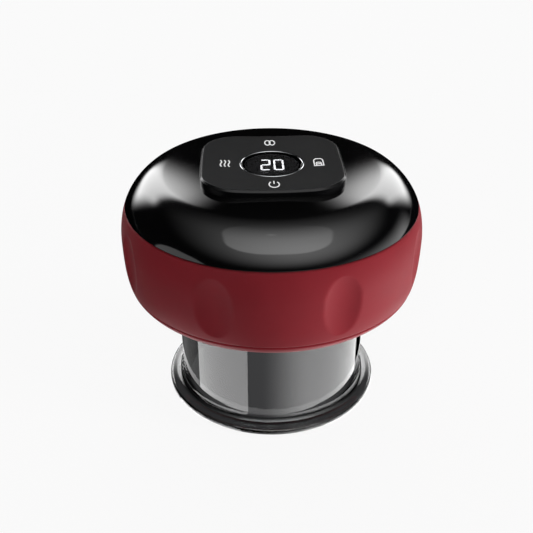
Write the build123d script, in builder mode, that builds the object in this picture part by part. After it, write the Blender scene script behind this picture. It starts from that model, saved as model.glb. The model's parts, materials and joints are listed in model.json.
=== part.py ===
from build123d import *
import os
from math import acos, cos, hypot, radians, sin

os.makedirs("parts", exist_ok=True)

# Electric cupping massager. Millimetres, Z up, front of the control panel towards -Y,
# z = 0 on the skin side of the cup, on the body's axis.

# Clear cup
cup_r = 35.2                # outside of the tube
cup_wall = 2.2
cup_h = 51.9
cup_lip_round = 0.6
flange_reach = 5.3          # tube out to the edge of the flange
flange_t = 2.5
flange_round = 0.9
flange_fillet = 3.0         # between the flange and the tube
cup_clear = 0.4             # round the tube where it enters the body
guard_wall = 2.0            # wall of the bottom cover round the tube

# Skin of the body, arcs of one half section from the flat crown down to the flat underside
cup_in_body = 8.25          # underside of the body up to the top of the tube
crown_over_cup = 0.8        # edge of the flat crown beyond the tube of the cup
brow_arc = 21.6
shoulder_arc = 12.0
dome_side_arc = 21.0
band_top_arc = 36.0
band_side_arc = 140.0
band_low_arc = 41.0
heel_arc = 7.0
skin_arcs = (brow_arc, shoulder_arc, dome_side_arc, band_top_arc, band_side_arc, band_low_arc, heel_arc)
skin_turns = (17.5, 22.0, 37.5, 13.0, 4.0, 9.0, 77.0)   # degrees, half a turn in all

# Shells
dome_wall = 2.2
band_wall = 3.0
cover_wall = 2.4
rim_drop = 11.4             # crown down to the band's top rim
rim_groove = 0.25
rim_round = 0.6
foot_h = 2.0                # thick foot of the dome above the rim
spigot_h = 3.2
spigot_wall = 1.5
part_line_h = 3.6           # underside up to the line between band and bottom cover
tongue_h = 2.4
shell_fit = 0.1
screen_fit = 0.05

# Finger dimples round the band
dimple_count = 8
dimple_first = 22.5         # degrees
dimple_depth = 1.5
dimple_mid_drop = 26.0      # crown down to the middle of a dimple
dimple_round = 24.8         # radius round the hollow, in plan
dimple_arch = 119.0         # radius of the hollow, up and down
dimple_reach = 20.0         # half height of the cutting form

# Control panel
panel_half_x = 25.5
panel_half_y = 24.7
panel_bow = 1.0             # how far the sides bow out
panel_corner = 13.0
panel_rise = 2.05           # crown up to the middle of the dished face
panel_dish_r = 300.0
panel_stock = 6.0           # height of the plate before the dish is cut
panel_chamfer = 0.7
panel_plate = 1.6
panel_rim = 2.2
panel_key_rib = 0.8         # rib inside the dome's window
window_fit = 0.15

# Display
lens_r = 11.1
lens_t = 1.3
lens_rise = 0.15
ring_w = 0.7
ring_rise = 0.3
lens_ledge = 1.5
digit_w = 3.5
digit_h = 8.8
digit_gap = 1.1
stroke = 0.95
segment_t = 0.15
segment_gap = 0.14
module_x = 17.0
module_y = 13.5
module_gap = 0.4

# Icons
icon_depth = 0.5
icon_w = 3.9
icon_line = 0.55
icon_stretch_share = 1.4
icon_x = 16.4
icon_y = 18.2

# Boards and keys
board_over_crown = 3.9
board_t = 1.6
board_drop = 6.2            # crown down to the underside of the main board
switch_side = 6.0
switch_h = 3.0
plunger_r = 1.7
plunger_depth = 1.3         # how far a plunger stands in its switch
key_travel = 0.25
key_gap = 0.1
board_post_r = 2.3
board_post_inset = 2.7
board_post_angles = (15.0, 165.0, 270.0)

# Cup seat, the ceiling over the cup
seat_gap = 0.1
seat_flange_t = 2.0
seat_spigot_fit = 1.2       # between the spigot and the cup's bore, bridged by the seal
seat_spigot_wall = 2.2
seat_spigot_h = 5.5
seat_plate_t = 2.2
seal_h = 2.4
seal_depth = 0.8            # depth of the seal's groove
seal_fit = 0.05
seal_up_share = 0.45        # where the seal sits on the spigot, as a share of its height
heater_gap = 1.6            # light window in to the heating plate
heater_t = 1.0
film_t = 0.2
window_edge = 3.2           # wall of the well in to the light window
window_w = 5.8
window_t = 1.0
led_count = 8
led_r = 1.5
led_hole_r = 1.8
led_board_gap = 0.7
led_board_t = 1.2

# Suction port and its filter
port_bore_r = 1.6
port_r = 6.0
filter_cap_h = 3.2
filter_cap_t = 1.2
filter_cap_rim = 7.0
filter_hole_r = 0.6
filter_holes = 6
filter_pad_t = 1.0
filter_fit = 0.06
elbow_seat_r = 7.6
elbow_seat_h = 1.9
elbow_foot_r = 5.0
elbow_foot_h = 1.3
elbow_r = 2.6
elbow_reach = 9.0
led_post_r = 1.0
barb_r = 1.7
barb_len = 4.0
hose_r = 2.2
hose_bore = 1.75

# Screws
screw_r = 1.1
screw_len = 7.0
screw_head_r = 2.0
screw_head_h = 1.2
slot_w = 0.5
pilot_r = 1.15
post_r = 2.8
case_screw_inset = 1.9      # edge of the flat underside in to the case screws
case_screw_angles = (45.0, 135.0, 225.0, 315.0)
screw_spare = 1.0           # a pilot hole runs this far past its screw
seat_boss_sink = 0.1        # the bosses run this far into the wall round the tube
seat_screw_angles = (0.0, 90.0, 180.0, 270.0)
seat_boss_r = 1.9
dome_post_clear = 0.6       # between the main board and the posts of the dome
dome_post_angles = (-22.0, 67.0, 113.0, 202.0)
head_recess = 1.4

# Chassis
chassis_clear = 4.5         # round the chassis, inside the band
chassis_t = 2.0
chassis_lift = 2.0          # seat flange up to the chassis plate
saddle_t = 2.0
rest_gap = 0.3              # pieces laid in a saddle stand this clear of it

# Battery
cell_r = 9.2
cell_len = 65.0
cell_edge = 23.0            # axis of the cell to the edge of the chassis
cell_pole_r = 3.0
cell_pole_h = 0.6
cell_saddle_x = 20.0

# Vacuum pump, lying along X
pump_y = -8.5
motor_r = 10.5
motor_wall = 0.8
motor_len = 26.0
motor_edge = 12.0           # back of the motor to the edge of the chassis
shaft_r = 1.0
bush_r = 2.5
bush_len = 2.4
bush_fit = 0.03
magnet_t = 1.1
magnet_len = 16.0
armature_gap = 0.5
armature_len = 14.0
end_cap_t = 3.0
terminal_reach = 2.6
terminal_apart = 8.0
bracket_t = 1.5
head_r = 11.0
head_len = 15.5
head_wall = 1.6
diaphragm_t = 1.2
diaphragm_boss_r = 5.0
diaphragm_boss_h = 2.5
cap_len = 5.3
eccentric_r = 3.6
eccentric_throw = 1.0
eccentric_len = 4.5
eccentric_gap = 2.0         # bracket to eccentric

# Release valve, upright
valve_x = 12.0
valve_y = -30.0
valve_w = 15.0
valve_d = 12.0
valve_base_h = 5.0
valve_sheet = 1.0
coil_r = 5.4
coil_h = 12.0
coil_bore = 2.1
valve_pin_r = 2.0
valve_pin_h = 9.0
valve_stroke = 1.0
spring_out_r = 1.8
spring_wall = 0.5

# Air manifold
pump_hose_run = 9.5         # pump cap to manifold
manifold_l = 10.0
manifold_back_y = -13.0
manifold_front_y = 3.0
manifold_head_h = 10.0
manifold_foot = 4.5
sensor_side = 7.0
sensor_h = 2.5
sensor_barb = 2.2
hose_end_gap = 0.2

# Charging socket at the back
socket_w = 8.9
socket_h = 3.2
socket_len = 7.4
socket_wall = 0.35
socket_back = 1.6           # skin back to the socket's mouth
port_drop = 24.2            # crown down to the socket's middle
frame_w = 11.6
frame_h = 5.6
frame_lip = 0.35
charge_board_w = 14.0
charge_board_l = 8.0
charge_board_t = 1.2
charge_back = 3.9           # board behind the socket

# Parts under the main board
buzzer_r = 4.5
buzzer_h = 4.0
buzzer_x = -8.0
buzzer_in = 9.9             # edge of the main board in to the buzzer
plug_side = 6.0
plug_h = 3.6
cell_plug_x = 24.5
motor_plug_x = -23.0
motor_plug_y = -26.0
chip_side = 7.0
chip_h = 0.9
coil_side = 5.0
coil_part_h = 2.4
chip_x = 8.0
chip_y = 9.0

# Leads
lead_r = 0.6
lead_bend = 2.5             # largest bend radius of a lead
lead_clear = 1.3            # leads run this clear over cell and motor

overrun = 1.0               # cutting forms run past the faces they cut

up = (Align.CENTER, Align.CENTER, Align.MIN)
down = (Align.CENTER, Align.CENTER, Align.MAX)

# Radii, heights and places that follow from the sizes above
underside_z = cup_h - cup_in_body
flange_r = cup_r + flange_reach
cup_bore = cup_r - cup_wall
crown_r = cup_r + crown_over_cup
slopes = [radians(sum(skin_turns[:i])) for i in range(len(skin_turns) + 1)]
arc_slopes = list(zip(skin_arcs, slopes, slopes[1:]))
crown_z = underside_z + sum(arc * (cos(a) - cos(b)) for arc, a, b in arc_slopes)
rim_z = crown_z - rim_drop
part_z = underside_z + part_line_h
dimple_z = crown_z - dimple_mid_drop
panel_z = crown_z + panel_rise
seat_z = cup_h + seat_gap
seat_top = seat_z + seat_flange_t
seat_low = seat_z - seat_spigot_h
chassis_low = seat_top + chassis_lift
chassis_top = chassis_low + chassis_t
board_low = crown_z - board_drop
board_top = board_low + board_t
switch_top = board_top + switch_h
plate_low = panel_z - panel_plate
lens_low = panel_z + lens_rise - lens_t
pump_z = chassis_top + rest_gap + head_r
cell_z = chassis_top + rest_gap + cell_r
port_z = crown_z - port_drop
posts_low = underside_z + cover_wall
flat_r = crown_r + sum(arc * (sin(b) - sin(a)) for arc, a, b in arc_slopes)
case_screw_ring = flat_r - case_screw_inset
board_r = crown_r + board_over_crown
board_post_ring = board_r - board_post_inset
dome_post_ring = board_r + dome_post_clear + post_r
cup_hole = cup_r + cup_clear
guard_r = cup_hole + guard_wall
seat_screw_ring = guard_r + seat_boss_r - seat_boss_sink
well_r = cup_bore - seat_spigot_fit
well_in = well_r - seat_spigot_wall
window_out_r = well_in - window_edge
window_in_r = window_out_r - window_w
heater_r = window_in_r - heater_gap


def skin_radius(z, inset=0):
    # Radius at height z of the body's skin, or of a wall set in from it
    r, top = crown_r, crown_z - inset
    for full_arc, a, b in arc_slopes:
        arc = full_arc - inset
        low = top - arc * (cos(a) - cos(b))
        if z >= low:
            return r + arc * (sin(acos(cos(a) - (top - z) / arc)) - sin(a))
        r += arc * (sin(b) - sin(a))
        top = low
    return r


def skin_form(inset, low, high):
    # The body's form set in from its skin, between two heights
    with BuildPart() as form:
        with BuildSketch(Plane.XZ):
            with BuildLine():
                edge = Line((0, crown_z - inset), (crown_r, crown_z - inset))
                for arc, turn in zip(skin_arcs, skin_turns):
                    edge = JernArc(edge @ 1, edge % 1, arc - inset, -turn)
                Polyline(edge @ 1, (0, underside_z + inset), (0, crown_z - inset))
            make_face()
        revolve(axis=Axis.Z)
        with Locations((0, 0, low)):
            Cylinder(2 * flange_r, high - low, align=up, mode=Mode.INTERSECT)
    return form.part


def skin_shell(outer, inner, low, high):
    # A wall that follows the skin, between two insets and two heights
    with BuildPart() as shell:
        add(skin_form(outer, low, high))
        add(skin_form(inner, low, high), mode=Mode.SUBTRACT)
    return shell.part


def ring_points(radius, angles, z):
    return [(radius * cos(radians(a)), radius * sin(radians(a)), z) for a in angles]


def panel_outline(inset):
    # Rounded square with bowed sides, set in from the panel's edge
    x, y = panel_half_x - inset, panel_half_y - inset
    cx, cy = x - panel_bow, y - panel_bow
    with BuildSketch() as outline:
        with BuildLine():
            ThreePointArc((-cx, -cy), (0, -y), (cx, -cy))
            ThreePointArc((cx, -cy), (x, 0), (cx, cy))
            ThreePointArc((cx, cy), (0, y), (-cx, cy))
            ThreePointArc((-cx, cy), (-x, 0), (-cx, -cy))
        make_face()
        fillet(outline.vertices(), panel_corner - inset)
    return outline.sketch


case_screw_places = ring_points(case_screw_ring, case_screw_angles, underside_z)


def screw(length):
    # Pan head screw with a cross slot, its head's underside at z = 0, shank downwards
    with BuildPart() as one:
        Cylinder(screw_r, length, align=down)
        Cylinder(screw_head_r, screw_head_h, align=up)
        fillet(one.edges().sort_by(Axis.Z)[-1], screw_head_h / 2)
        for turn in (0, 90):
            with Locations(Location((0, 0, screw_head_h), (0, 0, turn))):
                Box(1.3 * screw_head_r, slot_w, screw_head_h, mode=Mode.SUBTRACT)
    return one.part


def tube(points, radii, radius, bore=0):
    # Round tube along straight runs joined by arcs
    with BuildPart() as run:
        with BuildLine() as path:
            FilletPolyline(*points, radius=radii)
        with BuildSketch(Plane(origin=path.line @ 0, z_dir=path.line % 0)):
            Circle(radius)
            if bore:
                Circle(bore, mode=Mode.SUBTRACT)
        sweep(path=path.line)
    return run.part


def keep(part, name):
    part.label = name
    export_step(part, f"parts/{name}.step")


# Dome cover: gloss shell, thick foot on the rim, spigot inside the band, window and screw posts
foot_top = rim_z + rim_groove + foot_h
spigot_in = band_wall + shell_fit + spigot_wall
window = panel_outline(panel_rim)
with BuildPart() as dome_posts:
    with Locations(*ring_points(dome_post_ring, dome_post_angles, chassis_top)):
        Cylinder(post_r, crown_z - chassis_top, align=up)
    add(skin_form(dome_wall / 2, chassis_top, crown_z), mode=Mode.INTERSECT)
with BuildPart() as dome_cover:
    add(skin_shell(0, dome_wall, rim_z + rim_groove, crown_z))
    add(skin_shell(0, spigot_in, rim_z + rim_groove, foot_top))
    add(skin_shell(band_wall + shell_fit, spigot_in, rim_z - spigot_h, foot_top))
    add(dome_posts.part)
    with BuildSketch(Plane.XY.offset(crown_z)):
        add(window)
    extrude(amount=-dome_wall - overrun, mode=Mode.SUBTRACT)
    with Locations(*ring_points(dome_post_ring, dome_post_angles, chassis_top)):
        Cylinder(pilot_r, screw_len, align=up, mode=Mode.SUBTRACT)
keep(dome_cover.part, "dome_cover")

# Grip band: red ring with oval dimples, and the opening for the charging socket
with BuildPart() as dimple:
    with BuildSketch(Plane.XZ):
        with BuildLine():
            side = ThreePointArc(
                (dimple_round - dimple_reach ** 2 / dimple_arch / 2, dimple_z - dimple_reach),
                (dimple_round, dimple_z),
                (dimple_round - dimple_reach ** 2 / dimple_arch / 2, dimple_z + dimple_reach),
            )
            Polyline(side @ 1, (0, dimple_z + dimple_reach), (0, dimple_z - dimple_reach), side @ 0)
        make_face()
    revolve(axis=Axis.Z)
dimple_centre = skin_radius(dimple_z) - dimple_depth + dimple_round
port_skin = skin_radius(port_z)
port_plane = Plane(origin=(0, port_skin + overrun, port_z), x_dir=(1, 0, 0), z_dir=(0, 1, 0))
with BuildPart() as grip_band:
    add(skin_shell(0, band_wall, part_z, rim_z))
    fillet(grip_band.edges().filter_by(GeomType.CIRCLE).group_by(Axis.Z)[-1].sort_by(SortBy.RADIUS)[-1], rim_round)
    for i in range(dimple_count):
        turn = dimple_first + i * 360 / dimple_count
        hollow = Pos(dimple_centre * cos(radians(turn)), dimple_centre * sin(radians(turn)), 0) * dimple.part
        add(hollow, mode=Mode.SUBTRACT)
    with BuildSketch(port_plane):
        SlotOverall(frame_w, frame_h)
    extrude(amount=-band_wall - 2 * overrun, mode=Mode.SUBTRACT)
keep(grip_band.part, "grip_band")

# Bottom cover: red heel with a tongue inside the band, a wall round the cup, screw bosses
tongue_r = skin_radius(part_z, band_wall) - shell_fit
tongue_low = underside_z + cover_wall / 2
with BuildPart() as bottom_cover:
    add(skin_shell(0, cover_wall, underside_z, part_z))
    with BuildSketch(Plane.XY.offset(tongue_low)):
        Circle(tongue_r)
        Circle(tongue_r - spigot_wall, mode=Mode.SUBTRACT)
    extrude(amount=part_z + tongue_h - tongue_low)
    with Locations((0, 0, underside_z)):
        Cylinder(guard_r, seat_z - underside_z, align=up)
    with Locations(*ring_points(seat_screw_ring, seat_screw_angles, underside_z)):
        Cylinder(seat_boss_r, seat_z - underside_z, align=up)
    with Locations(*ring_points(seat_screw_ring, seat_screw_angles, seat_z)):
        Cylinder(pilot_r, screw_len - seat_flange_t + screw_spare, align=down, mode=Mode.SUBTRACT)
    with Locations((0, 0, underside_z)):
        Cylinder(cup_hole, seat_z - underside_z, align=up, mode=Mode.SUBTRACT)
    with Locations(*ring_points(case_screw_ring, case_screw_angles, posts_low)):
        Cylinder(post_r + screen_fit, part_z + tongue_h - posts_low, align=up, mode=Mode.SUBTRACT)
    with Locations(*[Plane(origin=p, z_dir=(0, 0, -1)) for p in case_screw_places]):
        CounterBoreHole(pilot_r, screw_head_r + shell_fit, head_recess, cover_wall)
keep(bottom_cover.part, "bottom_cover")

# Cup seat: flange on the bottom cover, a well inside the cup, its plate with heater and lamp pockets
seat_flange_r = case_screw_ring - post_r - rest_gap
plate_top = seat_low + seat_plate_t
seal_z = seat_low + seal_up_share * seat_spigot_h
lamp_ring = (window_in_r + window_out_r) / 2
with BuildPart() as cup_seat:
    with Locations((0, 0, seat_z)):
        Cylinder(seat_flange_r, seat_flange_t, align=up)
    with Locations((0, 0, seat_low)):
        Cylinder(well_r, seat_top - seat_low, align=up)
    with Locations((0, 0, plate_top)):
        Cylinder(well_in, seat_top - plate_top, align=up, mode=Mode.SUBTRACT)
    with Locations((0, 0, plate_top)):
        Cylinder(elbow_seat_r, elbow_seat_h, align=up)
        with PolarLocations(window_out_r, 3, 30):
            Cylinder(led_post_r, led_board_gap, align=up)
    with BuildSketch(Plane.XY.offset(seal_z)):
        Circle(well_r + overrun)
        Circle(well_r - seal_depth, mode=Mode.SUBTRACT)
    extrude(amount=seal_h, mode=Mode.SUBTRACT)
    with BuildSketch(Plane.XY.offset(seat_low)):
        Circle(heater_r + shell_fit)
        Circle(filter_cap_rim + shell_fit, mode=Mode.SUBTRACT)
    extrude(amount=heater_t + film_t, mode=Mode.SUBTRACT)
    with BuildSketch(Plane.XY.offset(seat_low)):
        Circle(window_out_r + shell_fit)
        Circle(window_in_r - shell_fit, mode=Mode.SUBTRACT)
    extrude(amount=window_t, mode=Mode.SUBTRACT)
    with Locations((0, 0, seat_low)):
        with PolarLocations(lamp_ring, led_count):
            Cylinder(led_hole_r, seat_plate_t, align=up, mode=Mode.SUBTRACT)
        Cylinder(port_r, filter_cap_h - filter_cap_t, align=up, mode=Mode.SUBTRACT)
        Cylinder(port_bore_r, seat_plate_t + elbow_seat_h, align=up, mode=Mode.SUBTRACT)
    with Locations(*ring_points(seat_screw_ring, seat_screw_angles, seat_z)):
        Cylinder(pilot_r, seat_flange_t, align=up, mode=Mode.SUBTRACT)
keep(cup_seat.part, "cup_seat")

# Seal ring, in the groove round the well
with BuildPart() as seal_ring:
    with Locations((0, 0, seal_z + seal_fit)):
        Cylinder(cup_bore - seal_fit, seal_h - 2 * seal_fit, align=up)
        Cylinder(well_r - seal_depth + seal_fit, seal_h, align=up, mode=Mode.SUBTRACT)
    fillet(seal_ring.edges().filter_by(GeomType.CIRCLE).sort_by(SortBy.RADIUS)[-2:], seal_h / 5)
keep(seal_ring.part, "seal_ring")

# Clear cup: tube over the seal, flange on the skin
with BuildPart() as cup:
    with BuildSketch(Plane.XZ):
        with BuildLine():
            Polyline(
                (cup_bore, 0), (flange_r, 0), (flange_r, flange_t), (cup_r, flange_t),
                (cup_r, cup_h), (cup_bore, cup_h), (cup_bore, 0),
            )
        cup_section = make_face()
        corners = cup_section.vertices()
        fillet(corners.filter_by_position(Axis.X, flange_r, flange_r), flange_round)
        inner_corner = corners.filter_by_position(Axis.X, cup_r, cup_r).sort_by(Axis.Y)
        fillet(inner_corner[0], flange_fillet)
        fillet(corners.filter_by_position(Axis.Y, cup_h, cup_h), cup_lip_round)
        fillet(corners.filter_by_position(Axis.X, cup_bore, cup_bore).sort_by(Axis.Y)[0], flange_round)
    revolve(axis=Axis.Z)
keep(cup.part, "cup")

# Heating plate and the film heater behind it, light window round them
with BuildPart() as heating_plate:
    with BuildSketch(Plane.XY.offset(seat_low)):
        Circle(heater_r)
        Circle(filter_cap_rim + 2 * shell_fit, mode=Mode.SUBTRACT)
    extrude(amount=heater_t)
    fillet(heating_plate.faces().sort_by(Axis.Z)[0].edges(), heater_t / 3)
keep(heating_plate.part, "heating_plate")

with BuildPart() as heater_film:
    with BuildSketch(Plane.XY.offset(seat_low + heater_t)):
        Circle(heater_r - heater_t)
        Circle(filter_cap_rim + heater_t, mode=Mode.SUBTRACT)
    extrude(amount=film_t)
keep(heater_film.part, "heater_film")

with BuildPart() as light_window:
    with BuildSketch(Plane.XY.offset(seat_low)):
        Circle(window_out_r)
        Circle(window_in_r, mode=Mode.SUBTRACT)
    extrude(amount=window_t)
keep(light_window.part, "light_window")

# Lamp board: a ring on three posts over the window, one lamp through each hole of the seat
led_board_low = plate_top + led_board_gap
with BuildPart() as led_board:
    with BuildSketch(Plane.XY.offset(led_board_low)):
        Circle(well_in - cup_clear)
        Circle(window_in_r - led_r, mode=Mode.SUBTRACT)
    extrude(amount=led_board_t)
keep(led_board.part, "led_board")

with BuildPart() as red_leds:
    with Locations((0, 0, led_board_low)):
        with PolarLocations(lamp_ring, led_count):
            Cylinder(led_r, led_board_low - seat_low - window_t - film_t, align=down)
keep(red_leds.part, "red_leds")

# Filter cap in the suction port, felt pad inside it; both come out downwards
cap_stem_r = port_r - filter_fit
cap_stem_h = filter_cap_h - filter_cap_t
with BuildPart() as filter_cap:
    with Locations((0, 0, seat_low)):
        Cylinder(filter_cap_rim, filter_cap_t, align=down)
    fillet(filter_cap.faces().sort_by(Axis.Z)[0].edges(), filter_cap_t / 3)
    with Locations((0, 0, seat_low)):
        Cylinder(cap_stem_r, cap_stem_h - shell_fit, align=up)
        Cylinder(cap_stem_r - filter_cap_t, cap_stem_h, align=up, mode=Mode.SUBTRACT)
    with Locations((0, 0, seat_low - filter_cap_t)):
        with PolarLocations(cap_stem_r / 2, filter_holes):
            Cylinder(filter_hole_r, filter_cap_t, align=up, mode=Mode.SUBTRACT)
keep(filter_cap.part, "filter_cap")

with BuildPart() as filter_pad:
    with Locations((0, 0, seat_low)):
        Cylinder(cap_stem_r - filter_cap_t - filter_fit, filter_pad_t, align=up)
keep(filter_pad.part, "filter_pad")

# Suction elbow: base over the port, barb that points to +X inside the well
elbow_z = plate_top + elbow_seat_h + elbow_r
with BuildPart() as suction_elbow:
    with Locations((0, 0, plate_top + elbow_seat_h)):
        Cylinder(elbow_r, 2 * elbow_r, align=up)
        Cylinder(elbow_foot_r, elbow_foot_h, align=up)
    with Locations(Plane(origin=(0, 0, elbow_z), z_dir=(1, 0, 0))):
        Cylinder(barb_r, elbow_reach, align=up)
        Cylinder(barb_r / 2, elbow_reach, align=up, mode=Mode.SUBTRACT)
    with Locations((0, 0, plate_top + elbow_seat_h)):
        Cylinder(barb_r / 2, elbow_r, align=up, mode=Mode.SUBTRACT)
keep(suction_elbow.part, "suction_elbow")

# Chassis: plate on posts that stand on the bottom cover, saddles for cell and pump, board posts
chassis_r = skin_radius(chassis_low, band_wall) - chassis_clear
cell_y = chassis_r - cell_edge
motor_back_x = motor_edge - chassis_r
head_front = motor_back_x + motor_len + bracket_t
head_end = head_front + head_len + diaphragm_t + cap_len
manifold_x = head_end + pump_hose_run
riser_x = manifold_x + hose_r + rest_gap
cell_saddles = [(side * cell_saddle_x, cell_y) for side in (-1, 1)]
motor_saddle_x = motor_back_x + motor_len / 2
board_posts = ring_points(board_post_ring, board_post_angles, chassis_top)
charge_y = port_skin - socket_back
charge_mid_y = charge_y - socket_len - charge_back + charge_board_l / 2
charge_low = port_z - socket_h / 2 - charge_board_t
with BuildPart() as chassis:
    with Locations((0, 0, chassis_low)):
        Cylinder(chassis_r, chassis_t, align=up)
    with Locations(*ring_points(case_screw_ring, case_screw_angles, posts_low)):
        Cylinder(post_r, chassis_low - posts_low, align=up)
    with Locations((riser_x, 0, chassis_low)):
        Cylinder(hose_r + 4 * rest_gap, chassis_t, align=up, mode=Mode.SUBTRACT)
    with Locations(*ring_points(case_screw_ring, case_screw_angles, posts_low)):
        Cylinder(pilot_r, screw_len + screw_spare, align=up, mode=Mode.SUBTRACT)
    with Locations(*ring_points(dome_post_ring, dome_post_angles, chassis_low)):
        Cylinder(pilot_r, chassis_t, align=up, mode=Mode.SUBTRACT)
    with Locations(*board_posts):
        Cylinder(board_post_r, board_low - chassis_top, align=up)
    with Locations(*ring_points(board_post_ring, board_post_angles, board_low)):
        Cylinder(pilot_r, screw_len, align=down, mode=Mode.SUBTRACT)
    for x, y in cell_saddles:
        with Locations((x, y, chassis_top)):
            Box(saddle_t, 2 * cell_r + 2 * saddle_t, cell_r, align=up)
    with Locations(Plane(origin=(0, cell_y, cell_z), z_dir=(1, 0, 0))):
        Cylinder(cell_r + rest_gap, cell_len, mode=Mode.SUBTRACT)
    with Locations((motor_saddle_x, pump_y, chassis_top)):
        Box(magnet_len, 2 * motor_r, motor_r / 2 + head_r - motor_r, align=up)
    with Locations((head_front + head_len / 2, pump_y, chassis_top)):
        Box(head_len / 2, 2 * head_r, head_r / 2, align=up)
    with Locations(Plane(origin=(motor_back_x, pump_y, pump_z), z_dir=(1, 0, 0))):
        Cylinder(motor_r + rest_gap, motor_len, align=up, mode=Mode.SUBTRACT)
    with Locations(Plane(origin=(head_front, pump_y, pump_z), z_dir=(1, 0, 0))):
        Cylinder(head_r + rest_gap, head_len, align=up, mode=Mode.SUBTRACT)
    for side in (-1, 1):
        with Locations((side * charge_board_w / 3, charge_mid_y, chassis_top)):
            Box(saddle_t, charge_board_l / 2, charge_low - chassis_top, align=up)
keep(chassis.part, "chassis")

# Battery cell, lying along X in its saddles
with BuildPart() as battery_cell:
    with Locations(Plane(origin=(-cell_len / 2, cell_y, cell_z), z_dir=(1, 0, 0))):
        Cylinder(cell_r, cell_len, align=up)
    fillet(battery_cell.edges().filter_by(GeomType.CIRCLE), cell_pole_h)
    with Locations(Plane(origin=(-cell_len / 2 - cell_pole_h, cell_y, cell_z), z_dir=(1, 0, 0))):
        Cylinder(cell_pole_r, cell_len + 2 * cell_pole_h, align=up)
keep(battery_cell.part, "battery_cell")


def pump_plane(x):
    # Plane across the pump's axis, facing +X
    return Plane(origin=(x, pump_y, pump_z), x_dir=(0, 1, 0), z_dir=(1, 0, 0))


# Pump motor: can, magnets, bushes, end cap with terminals, and its rotor
motor_front_x = motor_back_x + motor_len
motor_in = motor_r - motor_wall
with BuildPart() as motor_can:
    with Locations(pump_plane(motor_back_x)):
        Cylinder(motor_r, motor_len, align=up)
        Cylinder(motor_in, motor_len - motor_wall, align=up, mode=Mode.SUBTRACT)
        Cylinder(bush_r, motor_len, align=up, mode=Mode.SUBTRACT)
    fillet(motor_can.edges().filter_by(GeomType.CIRCLE).group_by(Axis.X)[-1].sort_by(SortBy.RADIUS)[-1], motor_wall / 2)
keep(motor_can.part, "motor_can")

magnet_in = motor_in - magnet_t
magnet_x = motor_back_x + (motor_len - magnet_len) / 2 + end_cap_t / 2
with BuildPart() as motor_magnets:
    with BuildSketch(pump_plane(magnet_x)):
        Circle(motor_in)
        Circle(magnet_in, mode=Mode.SUBTRACT)
        Rectangle(magnet_in, 2 * motor_r, mode=Mode.SUBTRACT)
    extrude(amount=magnet_len)
keep(motor_magnets.part, "motor_magnets")

bush_starts = (motor_back_x + (end_cap_t - bush_len) / 2, motor_front_x - bush_len)
with BuildPart() as motor_bushes:
    for x in bush_starts:
        with BuildSketch(pump_plane(x)):
            Circle(bush_r)
            Circle(shaft_r + bush_fit, mode=Mode.SUBTRACT)
        extrude(amount=bush_len)
keep(motor_bushes.part, "motor_bushes")

with BuildPart() as motor_end_cap:
    with Locations(pump_plane(motor_back_x)):
        Cylinder(motor_in, end_cap_t, align=up)
        Cylinder(bush_r, end_cap_t, align=up, mode=Mode.SUBTRACT)
    for side in (-1, 1):
        blade = (motor_back_x, pump_y + side * terminal_apart / 2, pump_z)
        with Locations(Plane(origin=blade, z_dir=(-1, 0, 0))):
            Box(3 * lead_r, lead_r, terminal_reach, align=up)
keep(motor_end_cap.part, "motor_end_cap")

eccentric_x = head_front + eccentric_gap
with BuildPart() as motor_shaft:
    with Locations(pump_plane(motor_back_x - overrun)):
        Cylinder(shaft_r, eccentric_x + eccentric_len - motor_back_x + overrun, align=up)
keep(motor_shaft.part, "motor_shaft")

armature_x = magnet_x + (magnet_len - armature_len) / 2
with BuildPart() as motor_armature:
    with BuildSketch(pump_plane(armature_x)):
        Circle(magnet_in - armature_gap)
        with PolarLocations(magnet_in - armature_gap, 3):
            SlotOverall(2 * armature_gap + magnet_in / 2, 3 * shaft_r, mode=Mode.SUBTRACT)
        Circle(shaft_r, mode=Mode.SUBTRACT)
    extrude(amount=armature_len)
keep(motor_armature.part, "motor_armature")

with BuildPart() as pump_eccentric:
    with BuildSketch(pump_plane(eccentric_x)):
        with Locations((eccentric_throw, 0)):
            Circle(eccentric_r)
        Circle(shaft_r, mode=Mode.SUBTRACT)
    extrude(amount=eccentric_len)
keep(pump_eccentric.part, "pump_eccentric")

# Pump head: bracket standing on the chassis, housing, diaphragm, cap with the inlet barb
with BuildPart() as pump_bracket:
    with BuildSketch(pump_plane(motor_front_x)):
        Circle(head_r)
        with Locations((0, -(pump_z - chassis_top) / 2)):
            Rectangle(2 * head_r, pump_z - chassis_top)
        Circle(bush_r + rest_gap, mode=Mode.SUBTRACT)
        with GridLocations(head_r, head_r, 2, 2):
            Circle(screw_r, mode=Mode.SUBTRACT)
    extrude(amount=bracket_t)
keep(pump_bracket.part, "pump_bracket")

with BuildPart() as pump_head:
    with Locations(pump_plane(head_front)):
        Cylinder(head_r, head_len, align=up)
        Cylinder(head_r - head_wall, head_len - head_wall, align=up, mode=Mode.SUBTRACT)
        Cylinder(diaphragm_boss_r + rest_gap, head_len, align=up, mode=Mode.SUBTRACT)
keep(pump_head.part, "pump_head")

diaphragm_x = head_front + head_len
with BuildPart() as pump_diaphragm:
    with Locations(pump_plane(diaphragm_x)):
        Cylinder(head_r, diaphragm_t, align=up)
    with Locations(pump_plane(diaphragm_x - diaphragm_boss_h)):
        Cylinder(diaphragm_boss_r, diaphragm_boss_h, align=up)
keep(pump_diaphragm.part, "pump_diaphragm")

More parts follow.
